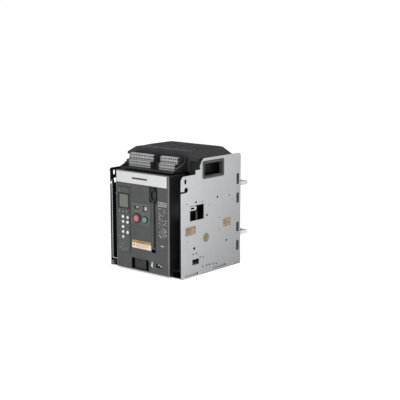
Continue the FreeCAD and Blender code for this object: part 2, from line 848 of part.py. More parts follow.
def mechanism_plate():
    """Insulating wall that closes the chambers in front, with a slot for each drive link."""
    wall = box((-cover_half + 3, cover_half - 3), (case_front, case_front + 5), (S.case_bottom, S.case_top))
    slots = [box((x - 6, x + 6), (case_front - 1, case_front + 6), (115, 165)) for x in POLES]
    return cut(wall, slots)


def line_contacts():
    pieces = []
    for x in POLES:
        level = S.line_height
        bar = box((x - S.stab_width / 2, x + S.stab_width / 2), (pivot_y + 20, case_rear + 10),
                  (level - bar_half, level + bar_half))
        drop = box((x - 14, x + 14), (pivot_y + 20, pivot_y + 30), (level - 26, level - bar_half))
        pieces.append(join([bar, drop]))
    return group(pieces)


def load_contacts():
    """Lower bars with two ears that carry each contact arm's pivot."""
    pieces = []
    for x in POLES:
        level = S.load_height
        bar = box((x - S.stab_width / 2, x + S.stab_width / 2), (pivot_y - 12, case_rear + 10),
                  (level - bar_half, level + bar_half))
        ears = []
        for side in (-1, 1):
            near, far = mirrored(side, 16, 21)
            ears.append(box((x + near, x + far), (pivot_y - 12, pivot_y + 12), (level, pivot_z + 12)))
        bore = rod("x", (x - 22, pivot_y, pivot_z), 6 + S.running, 44)
        pieces.append(cut(join([bar] + ears), [bore]))
    return group(pieces)


def contact_arms():
    """Moving contact arms, shown open: each leans forward about its lower pivot."""
    angle = S.contact_open_angle
    lean = Size(math.sin(math.radians(angle.number)), f"sin({angle.formula} * 1deg)")
    rise = Size(math.cos(math.radians(angle.number)), f"cos({angle.formula} * 1deg)")

    def leaning(along, across):
        return (pivot_y - along * lean + across * rise, pivot_z + along * rise + across * lean)

    reach = S.contact_arm_length
    outline = [leaning(*p) for p in (
        (-12, -7), (-12, 7), (reach - 24, 7), (reach - 24, 19.5), (reach - 4, 19.5), (reach - 4, 7),
        (reach, 4), (reach, -4), (reach - 8, -7),
    )]
    arms = []
    for x in POLES:
        arm = extrude("x", outline, x - 13, x + 13)
        arms.append(join([arm, rod("x", (x - 20.5, pivot_y, pivot_z), 6, 41)]))
    return group(arms)


def arc_chute_cases():
    cases = []
    low = S.line_height + bar_half + 3
    outer, inner = chamber_half - 2.5, chamber_half - 5.5
    for x in POLES:
        shell = box((x - outer, x + outer), (case_front + 12, case_rear - 9), (low, S.case_top - 1))
        hollow = box((x - inner, x + inner), (case_front + 15, case_rear - 12), (low - 1, S.case_top - 4))
        vents = [
            box((x - inner + 4, x + inner - 4), (case_front + 20 + 14 * i, case_front + 28 + 14 * i),
                (S.case_top - 5, S.case_top))
            for i in range(8)
        ]
        cases.append(cut(shell, [hollow] + vents))
    return group(cases)


def arc_splitters():
    low = S.line_height + bar_half + 6
    plates = []
    for x in POLES:
        for i in range(8):
            start = case_front + 23.5 + 14 * i
            plates.append(box((x - chamber_half + 5.5, x + chamber_half - 5.5), (start, start + 1.6),
                              (low, S.case_top - 4)))
    return group(plates)


def current_sensors():
    rings = []
    level = S.load_height
    for x in POLES:
        ring = box((x - chamber_half + 2.5, x + chamber_half - 2.5), (pivot_y + 45, pivot_y + 70),
                   (S.case_bottom + 5, level + 30))
        hole = box((x - S.stab_width / 2, x + S.stab_width / 2), (pivot_y + 44, pivot_y + 71),
                   (level - bar_half, level + bar_half))
        rings.append(cut(ring, [hole]))
    return group(rings)


def finger_clusters():
    """Spring-loaded finger contacts that bridge each breaker bar and its cassette stab."""
    pieces = []
    pitch = 8.6
    for x in POLES:
        for level in LEVELS:
            for side in (-1, 1):
                near = level + side * bar_half
                far = level + side * (bar_half + 6)
                span = (near, far) if side > 0 else (far, near)
                for i in range(-2, 3):
                    pieces.append(box((x + pitch * i - 3.6, x + pitch * i + 3.6),
                                      (case_rear + 2, wall_front + 10), span))
                clip = (far, far + 2) if side > 0 else (far - 2, far)
                pieces.append(box((x - 21, x + 21), (case_rear + 5, case_rear + 11), clip))
    return group(pieces)


# ---------------------------------------------------------------- breaker: operating mechanism

def shaft_places():
    """Depth and height of the main shaft and of the cam shaft."""
    return (front + 46, size_of(128)), (front + 32, size_of(222))


def mechanism_frames():
    """Two steel side frames that carry both shafts, clear of the outer poles' levers."""
    right = S.pole_pitch - 9
    (main_y, main_z), (cam_y, cam_z) = shaft_places()
    plates = []
    for low, high in ((size_of(-48), size_of(-45)), (right, right + 3)):
        plate = box((low, high), (front + 8, case_front), (66, 250))
        bores = [
            rod("x", (low - 1, main_y, main_z), 9 + S.running, 5),
            rod("x", (low - 1, cam_y, cam_z), 7 + S.running, 5),
        ]
        plates.append(cut(plate, bores))
    return group(plates)


def main_shaft():
    """Switching shaft with three short levers, one for each pole's drive link."""
    (y, z), _ = shaft_places()
    pieces = [rod("x", (-96, y, z), 9, 192)]
    for x in POLES:
        lever = [(y - 5, z), (y + 5, z), (y + 3, z - 15), (y - 3, z - 15)]
        pieces.append(extrude("x", lever, x - 4, x + 4))
    return join(pieces)


def cam_shaft():
    """Charging shaft with the closing cam."""
    _, (y, z) = shaft_places()
    cam = rod("x", (-6, y, z), 15, 12)
    lobe = rod("x", (-6, y - 5, z - 8), 13, 12)
    return join([rod("x", (-49, y, z), 7, 122), cam, lobe])


def ratchet_wheel():
    """Toothed wheel on the cam shaft, driven by the handle and the motor."""
    _, (y, z) = shaft_places()
    teeth = 18
    corners = []
    for i in range(teeth):
        for turn, reach in ((0.0, 15.0), (0.75, 18.0)):
            angle = 2 * math.pi * (i + turn) / teeth
            corners.append((y + reach * math.cos(angle), z + reach * math.sin(angle)))
    wheel = extrude("x", corners, 36, 42)
    return cut(wheel, [rod("x", (35, y, z), 7, 8)])


def motor_gearbox():
    """Spring charging motor beside the mechanism."""
    body = box((70, 98), (front + 12, front + 56), (150, 236))
    barrel = rod("z", (84, front + 22, 90), 12, 61)
    _, (y, z) = shaft_places()
    clear = rod("x", (69, y, z), 8, 5)
    return cut(join([body, barrel]), [clear])


def closing_spring():
    """Coil that closes the contacts; its lower end is fixed."""
    radius, wire, turns, height = 9.0, 1.6, 9, 88.0
    coil = Part.makeHelix(height / turns, height, radius)
    ring = Part.Wire([Part.makeCircle(wire, FreeCAD.Vector(radius, 0, 0), FreeCAD.Vector(0, 1, 0))])
    pipe = Part.Wire(coil.Edges).makePipeShell([ring], True, True)
    spring = doc.addObject("Part::Feature", "Spring")
    spring.Shape = pipe
    spring.Placement = FreeCAD.Placement(FreeCAD.Vector(-6, front.number + 22, 84), FreeCAD.Rotation())
    return spring


# ---------------------------------------------------------------- assembly

def build():
    node("left_side_plate", side_plate(-1))
    node("right_side_plate", side_plate(1))
    node("floor_plate", floor_plate())
    node("rear_wall", rear_wall())
    node("power_terminals", terminals())
    node("rail_guides", rail_guides())
    node("terminal_housing", terminal_housing())
    node("terminal_modules", terminal_modules())
    node("terminal_screws", terminal_screws())
    node("arc_hood", arc_hood())
    node("lifting_window_rims", lifting_window_rims())
    node("racking_nut", racking_nut())
    node("plate_rivets", plate_rivets())
    node("left_extension_rail", extension_rail(-1))
    node("right_extension_rail", extension_rail(1))
    node("upper_shutter", shutter(S.line_height, -1))
    node("lower_shutter", shutter(S.load_height, 1))

    node("front_cover", front_cover())
    node("header_plate", header_plate())
    node("trip_unit_case", trip_unit_case())
    node("trip_display", trip_display())
    node("button_panel", button_panel())
    node("cover_screws", cover_screws())
    node("racking_bracket", racking_bracket())
    node("support_lugs", support_lugs())
    node("pole_case", pole_case())
    node("mechanism_plate", mechanism_plate())
    node("line_contacts", line_contacts())
    node("load_contacts", load_contacts())
    node("arc_chute_cases", arc_chute_cases())
    node("arc_splitters", arc_splitters())
    node("current_sensors", current_sensors())
    node("finger_clusters", finger_clusters())
    node("mechanism_frames", mechanism_frames())
    node("motor_gearbox", motor_gearbox())
    node("closing_spring", closing_spring())

    node("contact_arms", contact_arms())
    node("main_shaft", main_shaft())
    node("cam_shaft", cam_shaft())
    node("ratchet_wheel", ratchet_wheel())
    node("charging_handle", charging_handle())
    node("off_button", push_button(-21, 158, S.off_radius))
    node("on_button", push_button(10, 157, S.on_radius))
    node("contact_flag", flag(-22, 190, 10))
    node("charge_flag", flag(11, 189, 10))
    node("racking_screw", racking_screw())
    node("racking_shutter", racking_shutter())
    node("racking_release_dial", racking_release_dial())
    node("position_indicator", position_indicator())
    for label, x, height in DIALS:
        node(label, setting_dial(x, height))
    for label, x, height in KEYS:
        node(label, key(x, height))


def check_and_write():
    doc.recompute()
    for piece in doc.Objects:
        if "Invalid" in piece.State or "Error" in piece.State:
            raise RuntimeError(f"{piece.Name} ({piece.Label}) failed: {piece.State}")
    for label, piece in NODES.items():
        shape = piece.Shape
        if shape.isNull() or not shape.isValid() or not shape.Solids:
            raise RuntimeError(f"{label} has no valid solid")
    for label, piece in NODES.items():
        piece.Shape.exportStep(f"parts/{label}.step")
    print(len(NODES), "nodes written")


build()
check_and_write()
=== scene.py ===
"""Withdrawable three-pole air circuit breaker: finishes, moulded detail and studio around its fixed frame.

Lengths are in millimetres, and Shape turns them into metres once. The studio's own lengths, the scale of the
textures and SMALL_FACET are in metres.
+Z is up and the front faces -Y, as in the frame.
"""

import math
import random

import bmesh
import bpy
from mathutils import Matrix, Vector


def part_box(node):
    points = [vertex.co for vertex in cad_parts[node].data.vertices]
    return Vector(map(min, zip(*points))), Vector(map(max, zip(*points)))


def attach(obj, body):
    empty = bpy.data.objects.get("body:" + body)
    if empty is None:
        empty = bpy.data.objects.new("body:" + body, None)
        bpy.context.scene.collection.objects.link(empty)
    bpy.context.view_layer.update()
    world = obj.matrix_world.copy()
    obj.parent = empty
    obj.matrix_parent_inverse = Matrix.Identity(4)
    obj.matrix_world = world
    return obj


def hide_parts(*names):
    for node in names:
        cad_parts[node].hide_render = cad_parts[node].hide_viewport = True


bl_info = {
    "name": "Withdrawable Air Circuit Breaker",
    "version": (1, 0, 0),
    "blender": (4, 5, 0),
    "location": "View3D > Sidebar > Breaker",
    "description": "Builds the finishes, front panel detail and studio of a withdrawable air circuit breaker",
    "category": "Object",
}

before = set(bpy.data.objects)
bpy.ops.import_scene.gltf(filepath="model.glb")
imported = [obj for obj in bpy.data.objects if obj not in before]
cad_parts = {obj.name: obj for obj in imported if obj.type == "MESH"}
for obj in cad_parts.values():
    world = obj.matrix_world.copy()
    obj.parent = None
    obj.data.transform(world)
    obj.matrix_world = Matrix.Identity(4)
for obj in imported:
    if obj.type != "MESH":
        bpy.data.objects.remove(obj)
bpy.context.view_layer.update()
MM = 0.001


def extent(node):
    """Lowest and highest corner of a CAD node in millimetres."""
    low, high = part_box(node)
    return low / MM, high / MM


def spans(node):
    """Width and height of a CAD node seen from the front."""
    low, high = extent(node)
    return (low.x, high.x), (low.z, high.z)


def centre_of(node):
    return tuple(sum(span) / 2 for span in spans(node))


COVER_LOW, COVER_HIGH = extent("front_cover")
HEADER_LOW, HEADER_HIGH = extent("header_plate")
HOOD_LOW, HOOD_HIGH = extent("arc_hood")
HANDLE_LOW, HANDLE_HIGH = extent("charging_handle")
FACE = COVER_LOW.y
TRIP_FACE = extent("trip_unit_case")[0].y
PANEL_FACE = extent("button_panel")[0].y
PLATE_FRONT = extent("right_side_plate")[0].y
PLATE_OUTSIDE = extent("right_side_plate")[1].x
WALL_BACK = extent("rear_wall")[1].y
# Openings and areas of the front, as spans across and up.
RACKING_OPENING = ((-45, 24), (8, 40))
INDICATOR_OPENING = ((51.5, 74), (24, 35))
FLAG_WINDOWS = (((-29, -15), (186, 194)), ((4, 18), (182, 195)))
RATING_AREA = ((57, 98), (106, 219))
SMALL_LABEL = ((59, 95), (72, 102))
NOTICE = ((-42, 33), (70, 93))
EMBOSSED_RING = (-23.5, 228)
SUNK = 0.05  # how far printed marks reach into the face behind them
WELL_DEPTH = 1.1
TERMINAL_GROUP_GAP = 10  # terminal modules further apart than this belong to separate groups
DIALS = (
    "dial_rating", "dial_long_pickup", "dial_long_delay", "dial_short_pickup",
    "dial_short_delay", "dial_instant", "dial_earth_pickup", "dial_earth_delay",
)
KEYS = ("key_left", "key_middle", "key_right")


def parts_of(node):
    """Lowest and highest corner of each separate solid of a CAD node, in millimetres, in reading order."""
    bm = bmesh.new()
    bm.from_mesh(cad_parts[node].data)
    bmesh.ops.remove_doubles(bm, verts=bm.verts, dist=1e-6)
    left = set(bm.verts)
    found = []
    while left:
        queue = [left.pop()]
        members = []
        while queue:
            vert = queue.pop()
            members.append(vert.co / MM)
            for edge in vert.link_edges:
                other = edge.other_vert(vert)
                if other in left:
                    left.remove(other)
                    queue.append(other)
        low = Vector(min(co[i] for co in members) for i in range(3))
        high = Vector(max(co[i] for co in members) for i in range(3))
        found.append((low, high))
    bm.free()
    return sorted(found, key=lambda box: (round(box[0].x, 1), round(box[0].z, 1), round(box[0].y, 1)))


# ---------------------------------------------------------------- mesh building blocks

def rounded(x, z, radius=0.0, steps=5):
    """Outline of a rectangle between the two spans, with its corners rounded."""
    if radius <= 0:
        return [(x[0], z[0]), (x[1], z[0]), (x[1], z[1]), (x[0], z[1])]
    points = []
    for cx, cz, start in (
        (x[1] - radius, z[0] + radius, -90), (x[1] - radius, z[1] - radius, 0),
        (x[0] + radius, z[1] - radius, 90), (x[0] + radius, z[0] + radius, 180),
    ):
        for i in range(steps + 1):
            angle = math.radians(start + 90 * i / steps)
            points.append((cx + radius * math.cos(angle), cz + radius * math.sin(angle)))
    return points


def grown(x, z, margin, radius, upright=None):
    """Rounded outline standing off two spans by a margin; upright is its margin in height if that differs."""
    up = margin if upright is None else upright
    return rounded((x[0] - margin, x[1] + margin), (z[0] - up, z[1] + up), radius)


def oval(centre, half_width, half_height, sides=48, start=0.0):
    angles = [math.radians(start + 360 * i / sides) for i in range(sides)]
    return [(centre[0] + half_width * math.cos(a), centre[1] + half_height * math.sin(a)) for a in angles]


def circle(centre, radius, sides=32, start=0.0):
    return oval(centre, radius, radius, sides, start)


def placed(axis, point, along):
    """A point of an outline, set at a distance along its axis."""
    if axis == "x":
        return Vector((along, point[0], point[1]))
    if axis == "y":
        return Vector((point[0], along, point[1]))
    return Vector((point[0], point[1], along))


class Shape:
    """Collects solids of one piece in a bmesh and turns them into an object on a body."""

    def __init__(self):
        self.bm = bmesh.new()

    def faces(self, corners, groups, finish):
        verts = [self.bm.verts.new(corner * MM) for corner in corners]
        for group in groups:
            face = self.bm.faces.new([verts[i] for i in group])
            face.material_index = finish
            face.smooth = True

    def prism(self, axis, outline, low, high, finish=0):
        """Outline swept from low to high along the axis."""
        count = len(outline)
        corners = [placed(axis, p, low) for p in outline] + [placed(axis, p, high) for p in outline]
        groups = [list(range(count)), list(range(count, 2 * count))]
        groups += [[i, (i + 1) % count, count + (i + 1) % count, count + i] for i in range(count)]
        self.faces(corners, groups, finish)
        return self

    def block(self, x, y, z, finish=0, radius=0.0):
        """Box between three spans; radius rounds its corners seen from the front."""
        return self.prism("y", rounded(x, z, radius), y[0], y[1], finish)

    def ring(self, axis, outer, inner, low, high, finish=0):
        """Frame between two outlines with the same number of points."""
        count = len(outer)
        corners = []
        for outline in (outer, inner):
            corners += [placed(axis, p, low) for p in outline] + [placed(axis, p, high) for p in outline]
        groups = []
        for i in range(count):
            j = (i + 1) % count
            for a, b in ((0, 1), (2, 3), (0, 2), (1, 3)):
                groups.append([a * count + i, a * count + j, b * count + j, b * count + i])
        self.faces(corners, groups, finish)
        return self

    def turned(self, axis, centre, profile, sides=32, finish=0):
        """Solid of revolution; profile is (radius, distance along the axis) and may end at radius 0."""
        corners = []
        rings = []
        for radius, along in profile:
            if radius <= 0:
                rings.append([len(corners)])
                corners.append(placed(axis, centre, along))
                continue
            rings.append(list(range(len(corners), len(corners) + sides)))
            corners += [placed(axis, p, along) for p in circle(centre, radius, sides)]
        groups = []
        for a, b in zip(rings, rings[1:]):
            for i in range(sides):
                j = (i + 1) % sides
                groups.append([a[i], a[j], b[0]] if len(b) == 1 else [a[i], a[j], b[j], b[i]])
        groups += [end for end in (rings[0], rings[-1]) if len(end) > 1]
        self.faces(corners, groups, finish)
        return self

    def piece(self, name, body, finishes, slot=None, bevel=0.0, segments=2, stands_for=()):
        """Object made from the solids, bevelled, with its finishes, riding on a body."""
        bmesh.ops.recalc_face_normals(self.bm, faces=self.bm.faces)
        mesh = bpy.data.meshes.new(name)
        self.bm.to_mesh(mesh)
        self.bm.free()
        piece = bpy.data.objects.new(name, mesh)
        bpy.context.scene.collection.objects.link(piece)
        for finish in finishes:
            mesh.materials.append(finish)
        soften(piece, bevel, segments)
        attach(piece, body)
        if stands_for:
            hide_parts(*stands_for)


def soften(piece, bevel, segments=2):
    """Round the sharp edges by a real bevel and keep flat faces flat."""
    if bevel > 0:
        modifier = piece.modifiers.new("edges", "BEVEL")
        modifier.width = bevel * MM
        modifier.segments = segments
        modifier.limit_method = "ANGLE"
        modifier.angle_limit = math.radians(38)
        modifier.harden_normals = True
        modifier.use_clamp_overlap = True
    else:
        piece.data.set_sharp_from_angle(angle=math.radians(35))


def dress(node, finishes, bevel=0.0, segments=1, pick=None):
    """Give a CAD node its finishes; pick chooses a finish for each face."""
    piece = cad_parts[node]
    piece.data.materials.clear()
    for finish in finishes:
        piece.data.materials.append(finish)
    for face in piece.data.polygons:
        face.material_index = pick(face) if pick else 0
    if bevel > 0:
        weld = piece.modifiers.new("weld", "WELD")
        weld.merge_threshold = 0.02 * MM
        merge = piece.modifiers.new("merge flat faces", "DECIMATE")
        merge.decimate_type = "DISSOLVE"
        merge.angle_limit = math.radians(0.4)
        merge.delimit = {"MATERIAL"}
        soften(piece, bevel, segments)


def dress_all(look, rows):
    """Give rows of CAD nodes one plain finish each: (finish, bevel, segments, nodes)."""
    for finish, bevel, segments, nodes in rows:
        for node in nodes:
            dress(node, [look[finish]], bevel, segments)


# ---------------------------------------------------------------- finishes

def shader(name, **sockets):
    """New node material with its uniform values set on the shader itself."""
    material = bpy.data.materials.new(name)
    material.use_nodes = True
    tree = material.node_tree
    principled = tree.nodes["Principled BSDF"]
    for socket, value in sockets.items():
        principled.inputs[socket.replace("_", " ")].default_value = value
    return material, tree, principled


def add(tree, kind, inputs=None, **settings):
    """New node with its settings; an input is a number, a colour or another node's output."""
    node = tree.nodes.new(kind)
    for key, value in settings.items():
        setattr(node, key, value)
    for key, value in (inputs or {}).items():
        if isinstance(value, bpy.types.NodeSocket):
            tree.links.new(value, node.inputs[key])
        else:
            node.inputs[key].default_value = value
    return node


def place_of(tree, stretch=(1, 1, 1)):
    """Position in the frame, stretched to draw grain out along an axis."""
    coordinates = add(tree, "ShaderNodeTexCoord")
    mapping = add(tree, "ShaderNodeMapping", {"Vector": coordinates.outputs["Object"], "Scale": stretch})
    return mapping.outputs["Vector"]


def noise(tree, place, scale, detail=3.0, roughness=0.55):
    return add(tree, "ShaderNodeTexNoise",
               {"Vector": place, "Scale": scale, "Detail": detail, "Roughness": roughness}).outputs["Fac"]


def ramp(tree, value, stops, interpolation="LINEAR"):
    """Colour ramp through (position, colour) stops."""
    node = add(tree, "ShaderNodeValToRGB", {"Fac": value})
    node.color_ramp.interpolation = interpolation
    elements = node.color_ramp.elements
    while len(elements) < len(stops):
        elements.new(0.5)
    for element, (position, colour) in zip(elements, stops):
        element.position = position
        element.color = (*colour[:3], 1)
    return node.outputs["Color"]


def spread(tree, value, low, high, start=0.3, end=0.7):
    """Map a noise value onto the range low to high."""
    return add(tree, "ShaderNodeMapRange", {
        "Value": value, "From Min": start, "From Max": end, "To Min": low, "To Max": high,
    }).outputs["Result"]


def blend(tree, factor, first, second, mode="MIX"):
    node = add(tree, "ShaderNodeMix", data_type="RGBA", blend_type=mode)
    for index, value in ((0, factor), (6, first), (7, second)):
        if isinstance(value, bpy.types.NodeSocket):
            tree.links.new(value, node.inputs[index])
        else:
            node.inputs[index].default_value = value
    return node.outputs[2]


def scaled(colour, factor):
    return tuple(min(1.0, c * factor) for c in colour)


def bumped(tree, height, strength, distance=0.2, **normal):
    """Surface normal raised by a height over a distance in millimetres."""
    inputs = {"Strength": strength, "Distance": distance * MM, "Height": height}
    return add(tree, "ShaderNodeBump", inputs | normal).outputs["Normal"]


def finished(made, tone, roughness=None, normal=None):
    """Join colour, roughness and normal to the shader and hand over the material."""
    material, tree, principled = made
    for socket, source in (("Base Color", tone), ("Roughness", roughness), ("Normal", normal)):
        if source:
            tree.links.new(source, principled.inputs[socket])
    return material


def edge_mask(tree, radius, place):
    """About 1 along worn edges and 0 on open faces, broken up by noise."""
    soft = add(tree, "ShaderNodeBevel", {"Radius": radius * MM}, samples=4)
    plain = add(tree, "ShaderNodeNewGeometry")
    dot = add(tree, "ShaderNodeVectorMath", operation="DOT_PRODUCT")
    tree.links.new(soft.outputs["Normal"], dot.inputs[0])
    tree.links.new(plain.outputs["Normal"], dot.inputs[1])
    near = spread(tree, dot.outputs["Value"], 1.0, 0.0, 0.90, 0.995)
    patchy = spread(tree, noise(tree, place, 260, 4), 0.1, 1.0, 0.42, 0.62)
    return add(tree, "ShaderNodeMath", {0: near, 1: patchy}, operation="MULTIPLY").outputs[0]


def moulded(name, colour, roughness=0.55, mottle=0.10, grain=900, depth=0.05, worn=0.0, **sockets):
    """Moulded plastic: cloudy colour, spark-eroded grain, dusty patches and rubbed edges."""
    made = shader(name, **sockets)
    tree = made[1]
    place = place_of(tree)
    cloud = noise(tree, place, 38, 5)
    tone = ramp(tree, cloud, [(0.3, scaled(colour, 1 - mottle)), (0.7, scaled(colour, 1 + mottle))])
    speck = noise(tree, place, 420, 2)
    tone = blend(tree, spread(tree, speck, 0.0, 0.25, 0.55, 0.75), tone, (*scaled(colour, 1.35), 1))
    if worn > 0:
        rub = edge_mask(tree, 0.9, place)
        share = add(tree, "ShaderNodeMath", {0: rub, 1: worn}, operation="MULTIPLY").outputs[0]
        lighter = tuple(min(1.0, c * 1.9 + 0.03) for c in colour)
        tone = blend(tree, share, tone, (*lighter, 1))
    matt = noise(tree, place, 75, 6)
    fine = noise(tree, place, grain, 2)
    return finished(made, tone, spread(tree, matt, roughness - 0.09, roughness + 0.09),
                    bumped(tree, fine, depth * 4, 0.3))


def zinc(name, colour, roughness=0.45, spangle=260, **sockets):
    """Galvanised sheet: crystal spangle, rolling streaks, dull patches, and painted shade that darkens it
    towards the foot and rear.
    """
    made = shader(name, Metallic=0.55, **sockets)
    tree = made[1]
    place = place_of(tree)
    cells = add(tree, "ShaderNodeTexVoronoi", {"Vector": place, "Scale": spangle, "Randomness": 1.0})
    grey = add(tree, "ShaderNodeRGBToBW", {"Color": cells.outputs["Color"]}).outputs["Val"]
    tone = ramp(tree, grey, [(0.2, scaled(colour, 0.95)), (0.8, scaled(colour, 1.03))])
    patch = noise(tree, place, 11, 5, 0.6)
    tone = blend(tree, spread(tree, patch, 0.0, 0.5, 0.4, 0.75), tone, (*scaled(colour, 0.88), 1))
    streak = noise(tree, place_of(tree, (1, 1, 0.04)), 260, 3)
    tone = blend(tree, spread(tree, streak, 0.0, 0.22, 0.5, 0.72), tone, (*scaled(colour, 1.16), 1))
    # Painted shade: the sheet is darkened towards the bottom and the rear, standing in for the light falling
    # off there.
    position = add(tree, "ShaderNodeSeparateXYZ", {"Vector": place})
    foot = spread(tree, position.outputs["Z"], 0.40, 0.0, 0.0, 0.33)
    rear = spread(tree, position.outputs["Y"], 0.0, 0.30, -0.13, 0.13)
    painted_shade = add(tree, "ShaderNodeMath", {0: foot, 1: rear}, operation="ADD").outputs[0]
    tone = blend(tree, painted_shade, tone, (*scaled(colour, 0.2), 1))
    dull = blend(tree, 0.55, spread(tree, grey, roughness - 0.07, roughness + 0.07, 0.2, 0.8),
                 spread(tree, streak, roughness - 0.10, roughness + 0.12))
    return finished(made, tone, dull, bumped(tree, streak, 0.10, 0.3, Normal=bumped(tree, grey, 0.12)))


def metal(name, colour, roughness=0.3, brushed=(1, 1, 0.05), **sockets):
    """Machined or plated metal: brushed streaks, smudges and a fine bump."""
    made = shader(name, Metallic=1.0, **sockets)
    tree = made[1]
    streak = noise(tree, place_of(tree, brushed), 900, 3)
    smudge = noise(tree, place_of(tree), 60, 5)
    tone = ramp(tree, smudge, [(0.3, scaled(colour, 0.93)), (0.7, scaled(colour, 1.03))])
    tone = blend(tree, spread(tree, streak, 0.0, 0.3), tone, (*scaled(colour, 1.15), 1))
    return finished(made, tone, spread(tree, smudge, roughness - 0.02, roughness + 0.05),
                    bumped(tree, streak, 0.12))


def printed(name, colour, roughness=0.45, **sockets):
    """Printed or painted marking: slightly uneven ink with a light tooth."""
    made = shader(name, **sockets)
    tree = made[1]
    place = place_of(tree)
    ink = noise(tree, place, 340, 4)
    tone = ramp(tree, ink, [(0.3, scaled(colour, 0.88)), (0.65, colour)])
    return finished(made, tone, spread(tree, ink, roughness + 0.1, roughness - 0.05), bumped(tree, ink, 0.08))


def cell_print(name, ground, ink, cell):
    """Tag printed with a random field of square cells, in millimetres each."""
    made = shader(name, Roughness=0.5)
    tree = made[1]
    place = place_of(tree, (1 / (cell * MM),) * 3)
    snapped = add(tree, "ShaderNodeVectorMath", {0: place}, operation="FLOOR").outputs["Vector"]
    chance = add(tree, "ShaderNodeTexWhiteNoise", {"Vector": snapped}).outputs["Value"]
    dots = ramp(tree, chance, [(0.0, ink), (0.48, ground)], "CONSTANT")
    wash = noise(tree, place_of(tree), 240, 4)
    tone = blend(tree, spread(tree, wash, 0.0, 0.35), dots, (*scaled(ground, 1.1), 1))
    return finished(made, tone, normal=bumped(tree, chance, 0.2))


def two_tone(name, lower, upper, height, roughness=0.4):
    """Indicator strip: one colour below a height in the frame and another above it."""
    made = shader(name)
    tree = made[1]
    place = place_of(tree)
    z = add(tree, "ShaderNodeSeparateXYZ", {"Vector": place}).outputs["Z"]
    share = spread(tree, z, 0.0, 1.0, (height - 0.1) * MM, (height + 0.1) * MM)
    ink = noise(tree, place, 500, 3)
    tone = blend(tree, share, (*lower, 1), (*upper, 1))
    tone = blend(tree, spread(tree, ink, 0.0, 0.15), tone, (*scaled(lower, 0.8), 1))
    return finished(made, tone, spread(tree, ink, roughness - 0.05, roughness + 0.1))


# ---------------------------------------------------------------- settings

def colour_setting(name, description, default):
    return bpy.props.FloatVectorProperty(
        name=name, description=description, default=default, subtype="COLOR", size=3, min=0.0, max=1.0)


def number_setting(name, description, default, **options):
    return bpy.props.FloatProperty(name=name, description=description, default=default, **options)


def length_setting(name, description, default):
    return number_setting(name, f"{description}, in millimetres", default, min=0.0)


class BREAKER_PG_finishes(bpy.types.PropertyGroup):
    galvanised: colour_setting("Galvanised sheet", "Colour of the cassette's steel", (0.54, 0.545, 0.555))
    fascia: colour_setting("Fascia", "Colour of the breaker's grey front", (0.047, 0.050, 0.0505))
    trim: colour_setting("Trim", "Colour of the lighter grey edge trim", (0.115, 0.115, 0.118))
    black: colour_setting("Black moulding", "Colour of the black mouldings", (0.008, 0.008, 0.009))
    hood: colour_setting("Hood", "Colour of the arc hood", (0.022, 0.022, 0.024))
    header: colour_setting("Header", "Colour of the blank header plate", (0.50, 0.50, 0.505))
    terminal: colour_setting("Terminal modules", "Colour of the terminal modules", (0.50, 0.50, 0.505))
    screen: colour_setting("Screen", "Colour of the trip unit's screen", (0.078, 0.086, 0.062))
    off_button: colour_setting("Off button", "Colour of the off button", (0.20, 0.028, 0.036))
    on_button: colour_setting("On button", "Colour of the on button", (0.16, 0.25, 0.21))
    tag_ground: colour_setting("Tag ground", "Ground colour of the coded tags", (0.33, 0.25, 0.16))
    tag_ink: colour_setting("Tag ink", "Ink colour of the coded tags", (0.07, 0.05, 0.035))


class BREAKER_PG_terminals(bpy.types.PropertyGroup):
    tier: length_setting("Tier step", "Depth between the two tiers' faces", 13.0)
    well: length_setting("Well half width", "Half the width of a screw well", 2.35)


class BREAKER_PG_stage(bpy.types.PropertyGroup):
    azimuth: number_setting(
        "Azimuth", "Camera direction round the object from the front", math.radians(40.39), subtype="ANGLE")
    elevation: number_setting(
        "Elevation", "Camera height angle above the horizon", math.radians(10.35), subtype="ANGLE")
    distance: number_setting("Distance", "Camera distance from the front edge's foot", 2.759, unit="LENGTH")
    shift_right: number_setting("Offset right", "Camera offset to its right", 0.1583, unit="LENGTH")
    shift_up: number_setting("Offset up", "Camera offset along its up direction", 0.2086, unit="LENGTH")
    lens: number_setting("Focal length", "Lens focal length in millimetres", 85.9)
    key_power: number_setting("Key light", "Power of the key light", 12.0, unit="POWER")
    fill_power: number_setting("Fill light", "Power of the fill light", 8.0, unit="POWER")
    top_power: number_setting("Top light", "Power of the overhead light", 16.0, unit="POWER")
    surround: number_setting("Surround", "Brightness of the studio surround", 0.52)
    floor_glow: number_setting("Floor glow", "Light given off by the floor, as under a light table", 0.52)
    floor: colour_setting("Floor", "Colour of the plain floor", (0.92, 0.92, 0.92))


FLAG_SEAM = 197.5  # height of the flags' change of colour
GLOSS = {"Coat_Weight": 0.3, "Coat_Roughness": 0.2}
LOOKS = {}


